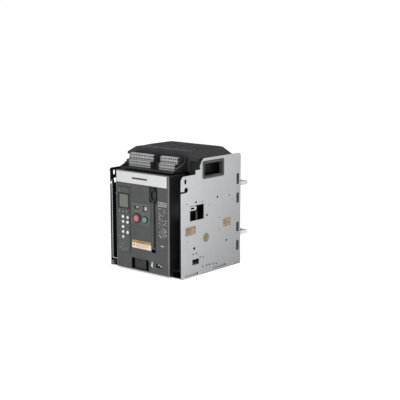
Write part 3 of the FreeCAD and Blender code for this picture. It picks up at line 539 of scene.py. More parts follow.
def looks():
    """All finishes, made once and shared by the pieces."""
    if LOOKS:
        return LOOKS
    f = bpy.context.scene.breaker_finishes
    LOOKS.update({
        "zinc": zinc("galvanised sheet", tuple(f.galvanised)),
        "rail": zinc("galvanised rail", scaled(tuple(f.galvanised), 1.08), 0.38, 160),
        "fascia": moulded("fascia grey", tuple(f.fascia), 0.50, worn=0.25, Specular_IOR_Level=0.35),
        "trim": moulded("trim grey", tuple(f.trim), 0.45, 0.06),
        "black": moulded("black moulding", tuple(f.black), 0.5, 0.2, worn=0.2, Specular_IOR_Level=0.3),
        "painted_shade_sheet": moulded("black painted shade sheet", scaled(tuple(f.black), 0.8), 0.7, 0.2, Specular_IOR_Level=0.15),
        "hood": moulded("hood moulding", tuple(f.hood), 0.55, 0.16, worn=0.15, Specular_IOR_Level=0.3),
        "header": moulded("header white", tuple(f.header), 0.42, 0.02, 700, 0.02),
        "terminal": moulded("terminal grey", tuple(f.terminal), 0.5, 0.08),
        "brown": moulded("laminated insulation", (0.045, 0.026, 0.018), 0.6, 0.2, 300),
        "casting": moulded("cast housing", (0.20, 0.20, 0.21), 0.55, 0.12, 500, 0.1, Metallic=0.7),
        "key": moulded("key grey", (0.06, 0.06, 0.065), 0.45, 0.05),
        "dial": moulded("dial white", (0.80, 0.79, 0.80), 0.35, 0.03, 900, 0.02),
        "off": moulded("off button red", tuple(f.off_button), 0.30, 0.12, **GLOSS),
        "on": moulded("on button green", tuple(f.on_button), 0.32, 0.08, **GLOSS),
        "panel": moulded("button plate", (0.050, 0.060, 0.055), 0.42, 0.12),
        "trip": moulded("trip unit case", scaled(tuple(f.fascia), 0.78), 0.42, 0.10),
        "steel": metal("zinc plated steel", (0.56, 0.56, 0.57), 0.32),
        "screw": metal("screw steel", (0.42, 0.41, 0.40), 0.35, (1, 1, 1)),
        "dark steel": metal("blackened steel", (0.07, 0.07, 0.072), 0.42, (1, 1, 1)),
        "tinned": metal("tinned copper", (0.62, 0.61, 0.60), 0.40, (1, 0.05, 1)),
        "copper": metal("bare copper", (0.78, 0.36, 0.22), 0.28, (1, 0.05, 1)),
        "screen": printed("screen glass", tuple(f.screen), 0.2, Coat_Weight=0.6, Coat_Roughness=0.08),
        "white ink": printed("white ink", (0.62, 0.62, 0.62)),
        "pale ink": printed("pale ink", (0.24, 0.24, 0.245)),
        "black ink": printed("black ink", (0.015, 0.015, 0.015)),
        "brown ink": printed("brown ink", (0.25, 0.17, 0.10)),
        "green ink": printed("green ink", (0.09, 0.22, 0.15)),
        "blush ink": printed("blush ink", (0.85, 0.45, 0.47)),
        "rim": moulded("pocket rim", (0.036, 0.036, 0.038), 0.5, 0.12, worn=0.25),
        "trim dark": moulded("dark trim", scaled(tuple(f.fascia), 1.1), 0.45, 0.06),
        "round tag": cell_print("round tag", (0.20, 0.155, 0.08), (0.12, 0.09, 0.045), 2.4),
        "yellow ink": printed("yellow ink", (0.34, 0.20, 0.05)),
        "cream ink": printed("cream ink", (0.66, 0.60, 0.48)),
        "tag": cell_print("coded tag", tuple(f.tag_ground), tuple(f.tag_ink), 1.9),
        "contact flag": two_tone("contact flag", (0.70, 0.72, 0.70), (0.60, 0.04, 0.04), FLAG_SEAM),
        "charge flag": two_tone("charge flag", (0.72, 0.72, 0.70), (0.70, 0.50, 0.06), FLAG_SEAM),
    })
    return LOOKS


# ---------------------------------------------------------------- pieces

SMALL_FACET = 9e-6  # square metres; wall facets of the small holes are below it


def inner_side(side):
    """Chooses the black sheet of painted shade for the inner face of a side plate and for the walls of its
    small holes.
    """
    def choose(face):
        inward = face.normal.x * side
        return 1 if inward < -0.9 or (abs(inward) < 0.5 and face.area < SMALL_FACET) else 0
    return choose


def rail_side(side):
    """Chooses the black sheet of painted shade for a rail, but bare sheet for the cut front edge of the left
    one.
    """
    def choose(face):
        return 0 if side < 0 and face.normal.y < -0.9 else 1
    return choose


class BREAKER_OT_steelwork(bpy.types.Operator):
    """Finish the side plates, floor and extension rails"""
    bl_idname = "breaker.steelwork"
    bl_label = "Steelwork"

    def execute(self, context):
        look = looks()
        sheet, rail, edge = [look["zinc"], look["painted_shade_sheet"]], [look["rail"], look["painted_shade_sheet"]], 0.3
        # The second finish of sheet and rail is a black sheet of painted shade: on the floor plate's top, the
        # side plates' inner faces and small holes, and the rails, which stand in shadow.
        dress("floor_plate", sheet, edge, 1, lambda face: int(face.normal.z > 0.9))
        for side, name in ((-1, "left"), (1, "right")):
            dress(f"{name}_side_plate", sheet, edge, 1, inner_side(side))
            dress(f"{name}_extension_rail", rail, edge, 1, rail_side(side))
        dress_all(look, (
            ("black", 0.4, 1, ("rail_guides",)),
            ("screw", 0.0, 1, ("plate_rivets",)),
            ("hood", 0.0, 1, ("lifting_window_rims",)),
        ))
        return {"FINISHED"}


def front_skin(face):
    """Grey on the front of the cover and in the handle's finger pocket, black on its sides."""
    centre = face.center / MM
    pocket = HANDLE_LOW.x - 3 < centre.x < HANDLE_HIGH.x + 3 and centre.z > 200 and centre.y < FACE + 7
    return 0 if pocket or (centre.y < FACE + 4.5 and abs(face.normal.y) > 0.6) else 1


class BREAKER_OT_mouldings(bpy.types.Operator):
    """Finish the large mouldings of the cassette and the breaker"""
    bl_idname = "breaker.mouldings"
    bl_label = "Mouldings"

    def execute(self, context):
        look = looks()
        dress("front_cover", [look["fascia"], look["black"]], 0.5, 2, front_skin)
        # Faces turned to the sides take the black moulding: painted shade for the hood's side walls, which
        # stand in shadow.
        dress("arc_hood", [look["hood"], look["black"]], 0.8, 2, lambda face: int(abs(face.normal.x) > 0.25))
        dress_all(look, (
            ("header", 0.4, 2, ("header_plate",)),
            ("trip", 0.4, 2, ("trip_unit_case",)),
            ("panel", 0.4, 2, ("button_panel",)),
            ("hood", 0.4, 2, ("racking_shutter",)),
            ("black", 0.5, 1, ("terminal_housing", "rear_wall", "pole_case", "current_sensors")),
            ("black", 0.3, 1, ("upper_shutter", "lower_shutter")),
            ("brown", 0.3, 1, ("mechanism_plate", "arc_chute_cases")),
            ("terminal", 0.2, 1, ("terminal_modules",)),
            ("fascia", 0.0, 1, ("cover_screws",)),
        ))
        return {"FINISHED"}


class BREAKER_OT_metalwork(bpy.types.Operator):
    """Finish the conductors, shafts, screws and mechanism"""
    bl_idname = "breaker.metalwork"
    bl_label = "Metalwork"

    def execute(self, context):
        dress_all(looks(), (
            ("tinned", 0.4, 1, ("power_terminals",)),
            ("tinned", 0.0, 1, ("finger_clusters",)),
            ("copper", 0.0, 1, ("line_contacts", "load_contacts", "contact_arms")),
            ("steel", 0.0, 1, ("arc_splitters", "mechanism_frames", "support_lugs", "racking_nut",
                               "racking_screw", "main_shaft", "cam_shaft", "ratchet_wheel")),
            ("dark steel", 0.0, 1, ("closing_spring", "racking_bracket", "terminal_screws")),
            ("casting", 0.0, 1, ("motor_gearbox",)),
        ))
        return {"FINISHED"}


class BREAKER_OT_controls(bpy.types.Operator):
    """Finish the handle, buttons, flags, keys and dials"""
    bl_idname = "breaker.controls"
    bl_label = "Controls"

    def execute(self, context):
        dress_all(looks(), (
            ("fascia", 0.0, 1, ("charging_handle",)),
            ("off", 0.4, 2, ("off_button",)),
            ("on", 0.4, 2, ("on_button",)),
            ("contact flag", 0.0, 1, ("contact_flag",)),
            ("charge flag", 0.0, 1, ("charge_flag",)),
            ("black", 0.0, 1, ("position_indicator",)),
            ("dial", 0.3, 2, ("racking_release_dial",)),
            ("screen", 0.0, 1, ("trip_display",)),
            ("key", 0.5, 2, KEYS),
            ("dial", 0.2, 1, DIALS),
        ))
        return {"FINISHED"}


# ---------------------------------------------------------------- cassette detail

class BREAKER_OT_plate_fittings(bpy.types.Operator):
    """Rivets, lifting pockets, interlock lever and coded tags on the side plates"""
    bl_idname = "breaker.plate_fittings"
    bl_label = "Plate fittings"

    def execute(self, context):
        look = looks()
        self.rivets(look)
        self.pockets(look)
        self.lever(look)
        self.tags(look)
        return {"FINISHED"}

    def rivets(self, look):
        """Domed head over each rivet: radius and rise from rim to crown."""
        dome = ((3.1, 0), (3.1, 0.35), (2.5, 0.75), (1.3, 1.0), (0, 1.05))
        heads = Shape()
        for low, high in parts_of("plate_rivets"):
            side = 1 if low.x > 0 else -1
            centre = ((low.y + high.y) / 2, (low.z + high.z) / 2)
            heads.turned("x", centre, [(radius, side * (PLATE_OUTSIDE + rise)) for radius, rise in dome], 20)
        heads.piece("plate_rivet_heads", "cassette", [look["screw"]], "screw_steel", 0.1, 1, ["plate_rivets"])

    def pockets(self, look):
        """Moulded rim of each lifting window: a rounded flange outside and a short tunnel inwards."""
        low, high = extent("lifting_window_rims")
        y, z = (low.y, high.y), (low.z, high.z)
        overlap, flange, wall, inset, step, depth = 1.4, 1.6, 5.2, 0.5, 1.5, 11.0
        rims = Shape()
        for side in (-1, 1):
            seat = side * PLATE_OUTSIDE
            rims.ring("x", grown(y, z, overlap, 5.0), grown(y, z, -wall, 2.5), seat, seat + side * flange)
            rims.ring("x", grown(y, z, -inset, 4.0), grown(y, z, -wall - step, 2.0),
                      seat - side * depth, seat)
        rims.piece("lifting_window_frames", "cassette", [look["rim"]], "black_moulding", 0.7, 3,
                   ["lifting_window_rims"])

    def lever(self, look):
        """Looped interlock lever and its link, seen through the square window of the right plate."""
        inner, outer = PLATE_OUTSIDE - 5.6, PLATE_OUTSIDE - 3.4
        y, z = PLATE_FRONT + 54, 196.5
        loop = rounded((y - 15, y + 15), (z - 6, z + 6), 5.9)
        slot = rounded((y - 11, y + 6), (z - 2.6, z + 2.6), 2.5)
        pin = ((2.2, inner), (2.2, outer + 0.6), (1.6, outer + 1.0), (0, outer + 1.1))
        lever = Shape().ring("x", loop, slot, inner, outer).turned("x", (y + 10.5, z), pin, 18, 1)
        lever.piece("interlock_lever", "cassette", [look["steel"], look["screw"]], "steel", 0.5, 2)
        link = Shape().block((inner + 0.2, outer - 0.8), (y + 12, y + 18), (159, 188))
        link.piece("interlock_link", "cassette", [look["dark steel"]], "steel", 0.4)

    def tags(self, look):
        """Two square coded tags and a round one on the right plate."""
        seat, thick, edge = PLATE_OUTSIDE, 0.4, 0.45
        tags = Shape()
        for start, end, z in ((17, 60, (122.5, 147)), (184, 218, (124, 149))):
            tags.prism("x", rounded((PLATE_FRONT + start, PLATE_FRONT + end), z, 0.8), seat, seat + thick)
        tags.piece("coded_tags", "cassette", [look["tag"]], None, 0.1, 1)
        disc = ((12.8, seat), (12.8, seat + 0.35), (12.4, seat + edge), (0, seat + edge))
        tag = Shape().turned("x", (PLATE_FRONT + 106, 105), disc, 40)
        tag.piece("round_tag", "cassette", [look["round tag"]])


class BREAKER_OT_terminal_blocks(bpy.types.Operator):
    """Control terminal modules in two tiers, with wells, marker tabs and end stops"""
    bl_idname = "breaker.terminal_blocks"
    bl_label = "Terminal blocks"

    def execute(self, context):
        look = looks()
        modules = parts_of("terminal_modules")
        groups = [[modules[0]]]
        for module in modules[1:]:
            if module[0].x - groups[-1][-1][0].x > TERMINAL_GROUP_GAP:
                groups.append([])
            groups[-1].append(module)
        self.modules(look, context.scene.breaker_terminals, groups)
        self.highlight_lips(look)
        return {"FINISHED"}

    def modules(self, look, s, groups):
        """Two tiers of cells on each module; the lower first cell of each group is its end clamp."""
        low, high = groups[0][0]
        middle, seat, front_depth = (low.z + high.z) / 2, high.y, 12.0
        tiers = ((low.y, low.z, middle, seat - front_depth, 0.6), (low.y + s.tier, middle, high.z, seat, 1.6))
        blocks, markers, stops = Shape(), Shape(), Shape()
        for group in groups:
            for module in group:
                left, right = module[0].x, module[1].x
                for y, bottom, top, back, rise in tiers:
                    if module is group[0] and top == middle:
                        stops.block((left, right), (y + 0.6, back), (bottom, top))
                        continue
                    for row in range(2):
                        height = (top - bottom) / 2
                        self.cell(blocks, s, (left, right), y, bottom + height * row, height)
                    # Black block behind the cell frames: painted shade that makes the screw wells and the
                    # gaps between cells read dark.
                    blocks.block((left + 0.35, right - 0.35), (y + WELL_DEPTH, back), (bottom, top - 0.3), 1)
                    markers.block((left + 1.3, right - 1.3), (y + 3.5, y + 7.5), (top - 0.4, top + rise))
        blocks.piece("terminal_module_faces", "cassette", [look["terminal"], look["black"]], "terminal_grey",
                     0.25, 1, ["terminal_modules"])
        markers.piece("terminal_markers", "cassette", [look["terminal"]], "terminal_grey", 0.3, 1)
        front, upper = tiers[0][0] - 0.8, tiers[1][0] - 0.8
        profile = [(front, low.z), (seat + 7, low.z), (seat + 7, high.z + 1), (upper, high.z + 1),
                   (upper, middle + 1), (front, middle + 1)]
        gap, width = 0.3, 2.3
        for group in groups:
            left, right = group[0][0].x - gap, group[-1][1].x + gap
            stops.prism("x", profile, left - width, left)
            stops.prism("x", profile, right, right + width)
        stops.piece("terminal_end_stops", "cassette", [look["hood"]], "black_moulding", 0.4, 2)

    def cell(self, blocks, s, x, y, bottom, height):
        """Front frame of one cell round its screw well."""
        gap = 0.25
        z = (bottom + gap, bottom + height - gap)
        centre, mid = sum(x) / 2, sum(z) / 2
        well = rounded((centre - s.well, centre + s.well), (mid - s.well - 0.2, mid + s.well + 0.2), 1.3, 2)
        blocks.ring("y", rounded((x[0] + 0.2, x[1] - 0.2), z, 0.5, 2), well, y, y + WELL_DEPTH)

    def highlight_lips(self, look):
        """Rounded lip along the sloping edge of each end cheek, in a lighter grey as a painted highlight on
        that edge.
        """
        low, high = extent("terminal_housing")
        start, end = (low.y + 0.2, 300.2), (low.y + 53.2, 321.2)
        edge = [start, end, (end[0] + 3.2, high.z), (end[0] + 4.9, high.z), (end[0] + 1.3, end[1] - 0.8),
                (start[0] + 0.6, start[1] - 1.5)]
        lips = Shape()
        for side in (-1, 1):
            lips.prism("x", edge, side * (high.x - 3.2), side * (high.x + 0.5))
        # The lighter grey of the lips is a painted highlight along the sloping edge.
        lips.piece("terminal_housing_highlight_lips", "cassette", [look["trim dark"]], "black_moulding", 0.5, 2)


def screw_head(shape, axis, centre, radius, seat):
    """Round screw head with a hexagon recess, standing out along the axis."""
    corners = circle(centre, radius * 0.48, 6)
    rim = []
    for start, end in zip(corners, corners[1:] + corners[:1]):
        rim += [tuple(a + (b - a) * k / 4 for a, b in zip(start, end)) for k in range(4)]
    shape.ring(axis, circle(centre, radius, 24), rim, seat, seat + radius * 0.42)
    shape.prism(axis, circle(centre, radius * 0.6, 16), seat, seat + radius * 0.12)


class BREAKER_OT_hood_detail(bpy.types.Operator):
    """Raised rear panel, louvres and screws on the arc hood"""
    bl_idname = "breaker.hood_detail"
    bl_label = "Hood detail"

    def execute(self, context):
        look = looks()
        top, flat = HOOD_HIGH.z, 100.0
        front, rear = HOOD_LOW.y + 41, HOOD_HIGH.y - 6
        rise, louvre_rise, pitch, bar, half_width = 1.6, 2.8, 7.5, 3.2, 27
        panel = Shape().prism("z", rounded((3 - flat, flat - 3), (front, rear), 4), top, top + rise)
        for pole in (-66, 0, 66):
            for i in range(12):
                y = front + 14 + pitch * i
                louvre = rounded((pole - half_width, pole + half_width), (y, y + bar), 1.5)
                panel.prism("z", louvre, top + rise, top + louvre_rise)
        panel.piece("hood_rear_panel", "cassette", [look["hood"]], "black_moulding", 0.6, 2)
        lip = rounded((1 - flat, flat - 1), (HOOD_LOW.y + 1.5, HOOD_LOW.y + 5), 1.6)
        Shape().prism("z", lip, top, top + 1.1).piece(
            "hood_front_lip", "cassette", [look["hood"]], "black_moulding", 0.5, 2)
        screws = Shape()
        for x in (8 - flat, flat - 8):
            for y in (HOOD_LOW.y + 13, front - 8):
                screw_head(screws, "z", (x, y), 3.2, top)
        screws.piece("hood_screws", "cassette", [look["dark steel"]], "screw_steel", 0.15, 1)
        return {"FINISHED"}


class BREAKER_OT_rear_detail(bpy.types.Operator):
    """Terminal surrounds, phase barriers and screws on the rear wall"""
    bl_idname = "breaker.rear_detail"
    bl_label = "Rear wall detail"

    def execute(self, context):
        look = looks()
        seat, half_wall, surround_rise, low_rib = WALL_BACK, 1.5, 4, 3
        surrounds, screws, barriers = Shape(), Shape(), Shape()
        for low, high in parts_of("power_terminals"):
            x, z = (low.x, high.x), (low.z, high.z)
            surrounds.ring("y", grown(x, z, 6, 3, 7), grown(x, z, 0.6, 0.8), seat, seat + surround_rise)
            for across in (-18, 18):
                for up in (-16, 16):
                    screw_head(screws, "y", (sum(x) / 2 + across, sum(z) / 2 + up), 2.6, seat)
        surrounds.piece("terminal_surrounds", "cassette", [look["black"]], "black_moulding", 0.7, 2)
        for x, rise in ((-105, 6), (-35, 14), (35, 14), (105, 6)):
            barriers.block((x - half_wall, x + half_wall), (seat, seat + rise), (18, 287))
        for z in (14, 152, 288):
            barriers.block((-112, 112), (seat, seat + low_rib), (z - half_wall, z + half_wall))
        barriers.piece("phase_barriers", "cassette", [look["black"]], "black_moulding", 0.6, 2)
        for x in (-122, 122):
            for z in (20, 85, 152, 219, 280):
                screw_head(screws, "y", (x, z), 3.6, seat)
        screws.piece("rear_wall_screws", "cassette", [look["screw"]], "screw_steel", 0.15, 1)
        return {"FINISHED"}


# ---------------------------------------------------------------- front detail

def dash(shape, x, z, width, height, seat, proud=0.18, finish=0):
    """Short printed bar, standing a hair proud of the face behind it."""
    shape.block((x, x + width), (seat - proud, seat + SUNK), (z, z + height), finish)


def border(shape, x, z, outer, inner, radii, seat, proud, sunk=0.2, finish=0):
    """Raised frame round two spans; outer and inner are the margins of its two edges."""
    rims = [grown(x, z, margin, radius) for margin, radius in zip((outer, inner), radii)]
    shape.ring("y", *rims, seat - proud, seat + sunk, finish)


def annulus(shape, centre, outer, inner, low, high, sides=48):
    shape.ring("y", circle(centre, outer, sides), circle(centre, inner, sides), low, high)


class BREAKER_OT_cover_detail(bpy.types.Operator):
    """Edge trim, embossing, header bar and printed marks of the front cover"""
    bl_idname = "breaker.cover_detail"
    bl_label = "Cover detail"

    def execute(self, context):
        look = looks()
        left, right, foot, top = COVER_LOW.x, COVER_HIGH.x, COVER_LOW.z, COVER_HIGH.z
        outer = rounded((left + 0.3, right - 0.3), (foot + 0.3, top - 0.3), 4)
        inner = rounded((left + 2.6, right - 5.6), (foot + 2.6, top - 2.8), 1.6)
        trim = Shape().ring("y", outer, inner, FACE - 0.7, FACE + 0.4)
        trim.piece("cover_edge_trim", "breaker", [look["trim"]], "cover_moulding", 0.45, 2)
        middle, half_length = (HEADER_LOW.x + HEADER_HIGH.x) / 2 - 6, 30
        bar = Shape().block((middle - half_length, middle + half_length),
                            (HEADER_LOW.y - 0.2, HEADER_LOW.y + 0.1), (270.5, 275.5), 0, 2.4)
        bar.piece("header_plain_bar", "breaker", [look["black ink"]], "black_moulding")
        emboss = Shape()
        annulus(emboss, EMBOSSED_RING, 15.5, 14.4, FACE - 0.45, FACE + 0.2)
        notch = EMBOSSED_RING[0] + 8.5
        emboss.block((notch, notch + 1), (FACE - 0.4, FACE + 0.2), (222, 234))
        border(emboss, *RATING_AREA, 0, -0.7, (1.5, 1.2), FACE, 0.35)
        border(emboss, *SMALL_LABEL, 0, -0.8, (1.5, 1.2), FACE, 0.45)
        emboss.piece("cover_embossing", "breaker", [look["trim dark"]], "cover_moulding", 0.15, 1)
        self.rating_marks(look)
        self.notice(look)
        return {"FINISHED"}

    def rating_marks(self, look):
        """Rows of plain bars where the ratings are printed; no lettering."""
        dice = random.Random(7)
        marks = Shape()
        white, pale, edge = 0, 1, 94
        for z in (213, 208, 203):
            x = 62.0
            while x < 92:
                width = dice.uniform(2.5, 6.5)
                dash(marks, x, z, min(width, edge - x), 1.7, FACE, finish=white)
                x += width + dice.uniform(1.5, 3.0)
        z, line = 196.0, 3.6
        while z > 110:
            x = 63.0
            while x < 90:
                width = dice.uniform(1.6, 7.0)
                if dice.random() < 0.72:
                    finish = white if dice.random() < 0.3 else pale
                    dash(marks, x, z, min(width, edge - x), 1.0, FACE, finish=finish)
                x += width + dice.uniform(1.2, 3.4)
            z -= line
        dash(marks, 71, 88, 9, 2.2, FACE, finish=white)
        dash(marks, 82, 88.6, 4, 1.2, FACE, finish=pale)
        marks.piece("rating_marks", "breaker", [look["white ink"], look["pale ink"]], "header_white")

    def notice(self, look):
        """Plain two-tone notice plate with a dot and bars."""
        (left, right), (foot, top) = NOTICE
        seam, thick, ink = top - 8.5, 0.5, 0.12
        cream, yellow, black, brown = range(4)
        plate = Shape()
        plate.block((left, right), (FACE - thick, FACE + 0.1), (foot, seam), cream, 0.8)
        plate.block((left, right), (FACE - thick, FACE + 0.1), (seam, top), yellow, 0.8)
        dot = ((2.6, FACE - 0.4), (2.6, FACE - 0.62), (0, FACE - 0.65))
        plate.turned("y", (left + 7, 78), dot, 24, black)
        for z, width in ((81.5, 52), (78.8, 52), (76.1, 52), (73.4, 34)):
            dash(plate, left + 14, z, width, 0.9, FACE - thick, ink, brown)
        dash(plate, left + 22, 87.6, 30, 1.8, FACE - thick, ink, black)
        inks = [look[name + " ink"] for name in ("cream", "yellow", "black", "brown")]
        plate.piece("notice_plate", "breaker", inks, "header_white", 0.08, 1)


class BREAKER_OT_trip_unit_detail(bpy.types.Operator):
    """Bezels, dial scales and small marks of the trip unit"""
    bl_idname = "breaker.trip_unit_detail"
    bl_label = "Trip unit detail"

    def execute(self, context):
        look = looks()
        bezel = Shape()
        border(bezel, *spans("trip_unit_case"), 0.1, -1.3, (2, 1.2), TRIP_FACE, 0.8, 0.3)
        border(bezel, *spans("trip_display"), 3.2, -0.6, (2.2, 0.8), TRIP_FACE, 0.9, 0.3, 1)
        bezel.piece("trip_unit_bezels", "breaker", [look["trip"], look["black"]], "cover_moulding", 0.3, 2)
        self.scales(look)
        for node in DIALS:
            (x, z), face = centre_of(node), extent(node)[0].y
            paint = Shape().block((x - 0.45, x + 0.45), (face - 0.02, face + 0.9), (z - 2.9, z + 2.9), 0, 0.2)
            paint.piece(f"{node}_slot_paint", node, [look["key"]], "key_grey")
        for node, turn in zip(KEYS, (180, 90, 0)):
            face = extent(node)[0].y
            arrow = Shape().prism("y", circle(centre_of(node), 1.9, 3, turn), face - 0.2, face + 0.2)
            arrow.piece(f"{node}_arrow", node, [look["white ink"]], "dial_white")
        return {"FINISHED"}

    def scales(self, look):
        """Ticks round each dial, a bar over each key and the unit's small printed bars."""
        scales = Shape()
        ink = (TRIP_FACE - 0.15, TRIP_FACE + SUNK)
        ticks, first, sweep, half_width = 9, 225, 270, 0.22
        for node in DIALS:
            x, z = centre_of(node)
            for i in range(ticks):
                angle = math.radians(first - sweep * i / (ticks - 1))
                cos, sin = math.cos(angle), math.sin(angle)
                corners = ((5.2, -half_width), (6.3, -half_width), (6.3, half_width), (5.2, half_width))
                scales.prism("y", [(x + out * cos - side * sin, z + out * sin + side * cos)
                                   for out, side in corners], *ink)
        for node in KEYS:
            (left, right), (_, top) = spans(node)
            dash(scales, left + 1.5, top + 2.2, right - left - 3, 0.7, TRIP_FACE)
        for x, z, width in ((-98, 232, 9), (-97, 162, 3), (-97, 146, 3), (-97, 131, 3), (-97, 96, 2.5),
                            (-84, 75, 5), (-76, 75, 3), (-64, 63, 6), (-95, 63, 12), (-80, 57, 9)):
            dash(scales, x, z, width, 1.1, TRIP_FACE)
        scales.prism("y", [(-97.5, 101), (-96.7, 101), (-91.5, 92), (-92.3, 92)], *ink)
        scales.piece("trip_unit_scales", "breaker", [look["pale ink"]], "header_white")


class BREAKER_OT_button_detail(bpy.types.Operator):
    """Bezels and plain ring and bar signs of the two buttons and their windows"""
    bl_idname = "breaker.button_detail"
    bl_label = "Button detail"

    def execute(self, context):
        look = looks()
        seat = PANEL_FACE
        rim = Shape()
        border(rim, *spans("button_panel"), 0.2, -1.1, (2, 1.2), seat, 0.5, 0.3)
        rim.piece("button_panel_rim", "breaker", [look["trim"]], "cover_moulding", 0.3, 2)
        bezels = Shape()
        for node, margin, outer, inner, ink, slot in (
            ("off_button", 3.0, 5.4, 4.0, "blush ink", "dial_white"),
            ("on_button", 2.2, 4.3, 2.9, "panel", "button_green"),
        ):
            low, high = extent(node)
            radius, centre, sign = (high.x - low.x) / 2, centre_of(node), Shape()
            annulus(bezels, centre, radius + margin, radius + 0.55, seat - 2.4, seat + 0.2)
            annulus(sign, centre, outer, inner, low.y - 0.25, low.y + 0.3, 40)
            sign.piece(f"{node}_ring_sign", node, [look[ink]], slot, 0.1, 1)
        for x, z in FLAG_WINDOWS:
            border(bezels, x, z, 1.6, 0.1, (1.4, 0.5), seat, 0.7)
        bezels.piece("button_bezels", "breaker", [look["black"]], "black_moulding", 0.4, 2)
        signs = Shape()
        for x, z, width in ((-27, 197, 9), (5, 198, 10), (-31, 177, 18), (2, 174, 15), (-27, 143.8, 12),
                            (4, 146, 10), (22, 156, 4), (22, 150, 4)):
            dash(signs, x, z, width, 0.9, seat)
        signs.piece("button_panel_marks", "breaker", [look["green ink"]], "flag_green")
        return {"FINISHED"}


class BREAKER_OT_handle(bpy.types.Operator):
    """Charging handle: rounded grey arm, black looped grip with a knob, hub and pin"""
    bl_idname = "breaker.handle"
    bl_label = "Charging handle"

    def execute(self, context):
        look = looks()
        x = (HANDLE_LOW.x + HANDLE_HIGH.x) / 2
        front, top, back = HANDLE_LOW.y, HANDLE_HIGH.z, FACE + 5.2
        half, pin_reach = 5.8, 9.8
        hub, hub_radius, pin_radius = (FACE + 10, 76), 5.4, 3
        arm = Shape()
        arm.block((x - half, x + 1.2), (front + 0.2, back), (80, 217))
        arm.block((x - half, x + half), (front + 0.2, hub[0]), (75.2, 81))
        side = half + 0.1
        for radius, start, end, sides, finish in (
            (hub_radius, -side, side, 28, 0),
            (pin_radius, -pin_reach, -side, 20, 1),
            (pin_radius, side, pin_reach, 20, 1),
        ):
            arm.turned("x", hub, [(radius, x + start), (radius, x + end)], sides, finish)
        arm.piece("handle_arm", "charging_handle", [look["fascia"], look["screw"]], "cover_moulding", 0.9, 3)
        loop, knob, collar = (x, 231.5), (x, top - 5.2), (x, 213.5)
        grip = Shape().ring("y", oval(loop, 13.2, 20.2), oval(loop, 8.4, 14.6), front + 0.1, back)
        grip.turned("y", knob, [(5.2, back), (5.2, front + 0.9), (4.4, front + 0.1), (0, front + 0.05)], 28)
        grip.turned("y", collar, [(6.0, back), (6.0, front + 0.8), (5.0, front + 0.05), (0, front)], 28)
        grip.piece("handle_grip", "charging_handle", [look["black"]], "black_moulding", 1.3, 4,
                   ["charging_handle"])
        backing = Shape().block((x - 15.8, x + 15.8), (back + 0.35, back + 0.9), (209, top + 3.5))
        backing.piece("handle_recess_backing", "breaker", [look["fascia"]], "cover_moulding", 0.2, 1)
        return {"FINISHED"}


class BREAKER_OT_racking_detail(bpy.types.Operator):
    """Rims of the racking openings and the printed position strip"""
    bl_idname = "breaker.racking_detail"
    bl_label = "Racking detail"

    def execute(self, context):
        look = looks()
        rims = Shape()
        depth = (FACE - 0.5, FACE + 0.3)
        rims.ring("y", grown(*RACKING_OPENING, 1.6, 2, 1.4), rounded(*RACKING_OPENING, 0.8), *depth)
        rims.ring("y", grown(*INDICATOR_OPENING, 1.3, 1.4), rounded(*INDICATOR_OPENING, 0.5), *depth)
        rims.piece("racking_rims", "breaker", [look["trim dark"]], "cover_moulding", 0.25, 2)
        low = extent("position_indicator")[0]
        marks = Shape()
        white, blush, green = range(3)
        for start, end, z, finish in ((3, 11, (29.5, 32.5), white), (13, 20, (26, 31), blush),
                                      (3, 9, (20, 22.5), green), (3, 20, (11, 14), green)):
            marks.block((low.x + start, low.x + end), (low.y - 0.2, low.y + SUNK), z, finish, 0.3)
        inks = [look[name + " ink"] for name in ("white", "blush", "green")]
        marks.piece("position_marks", "position_indicator", inks, "flag_white")
        return {"FINISHED"}


# ---------------------------------------------------------------- studio

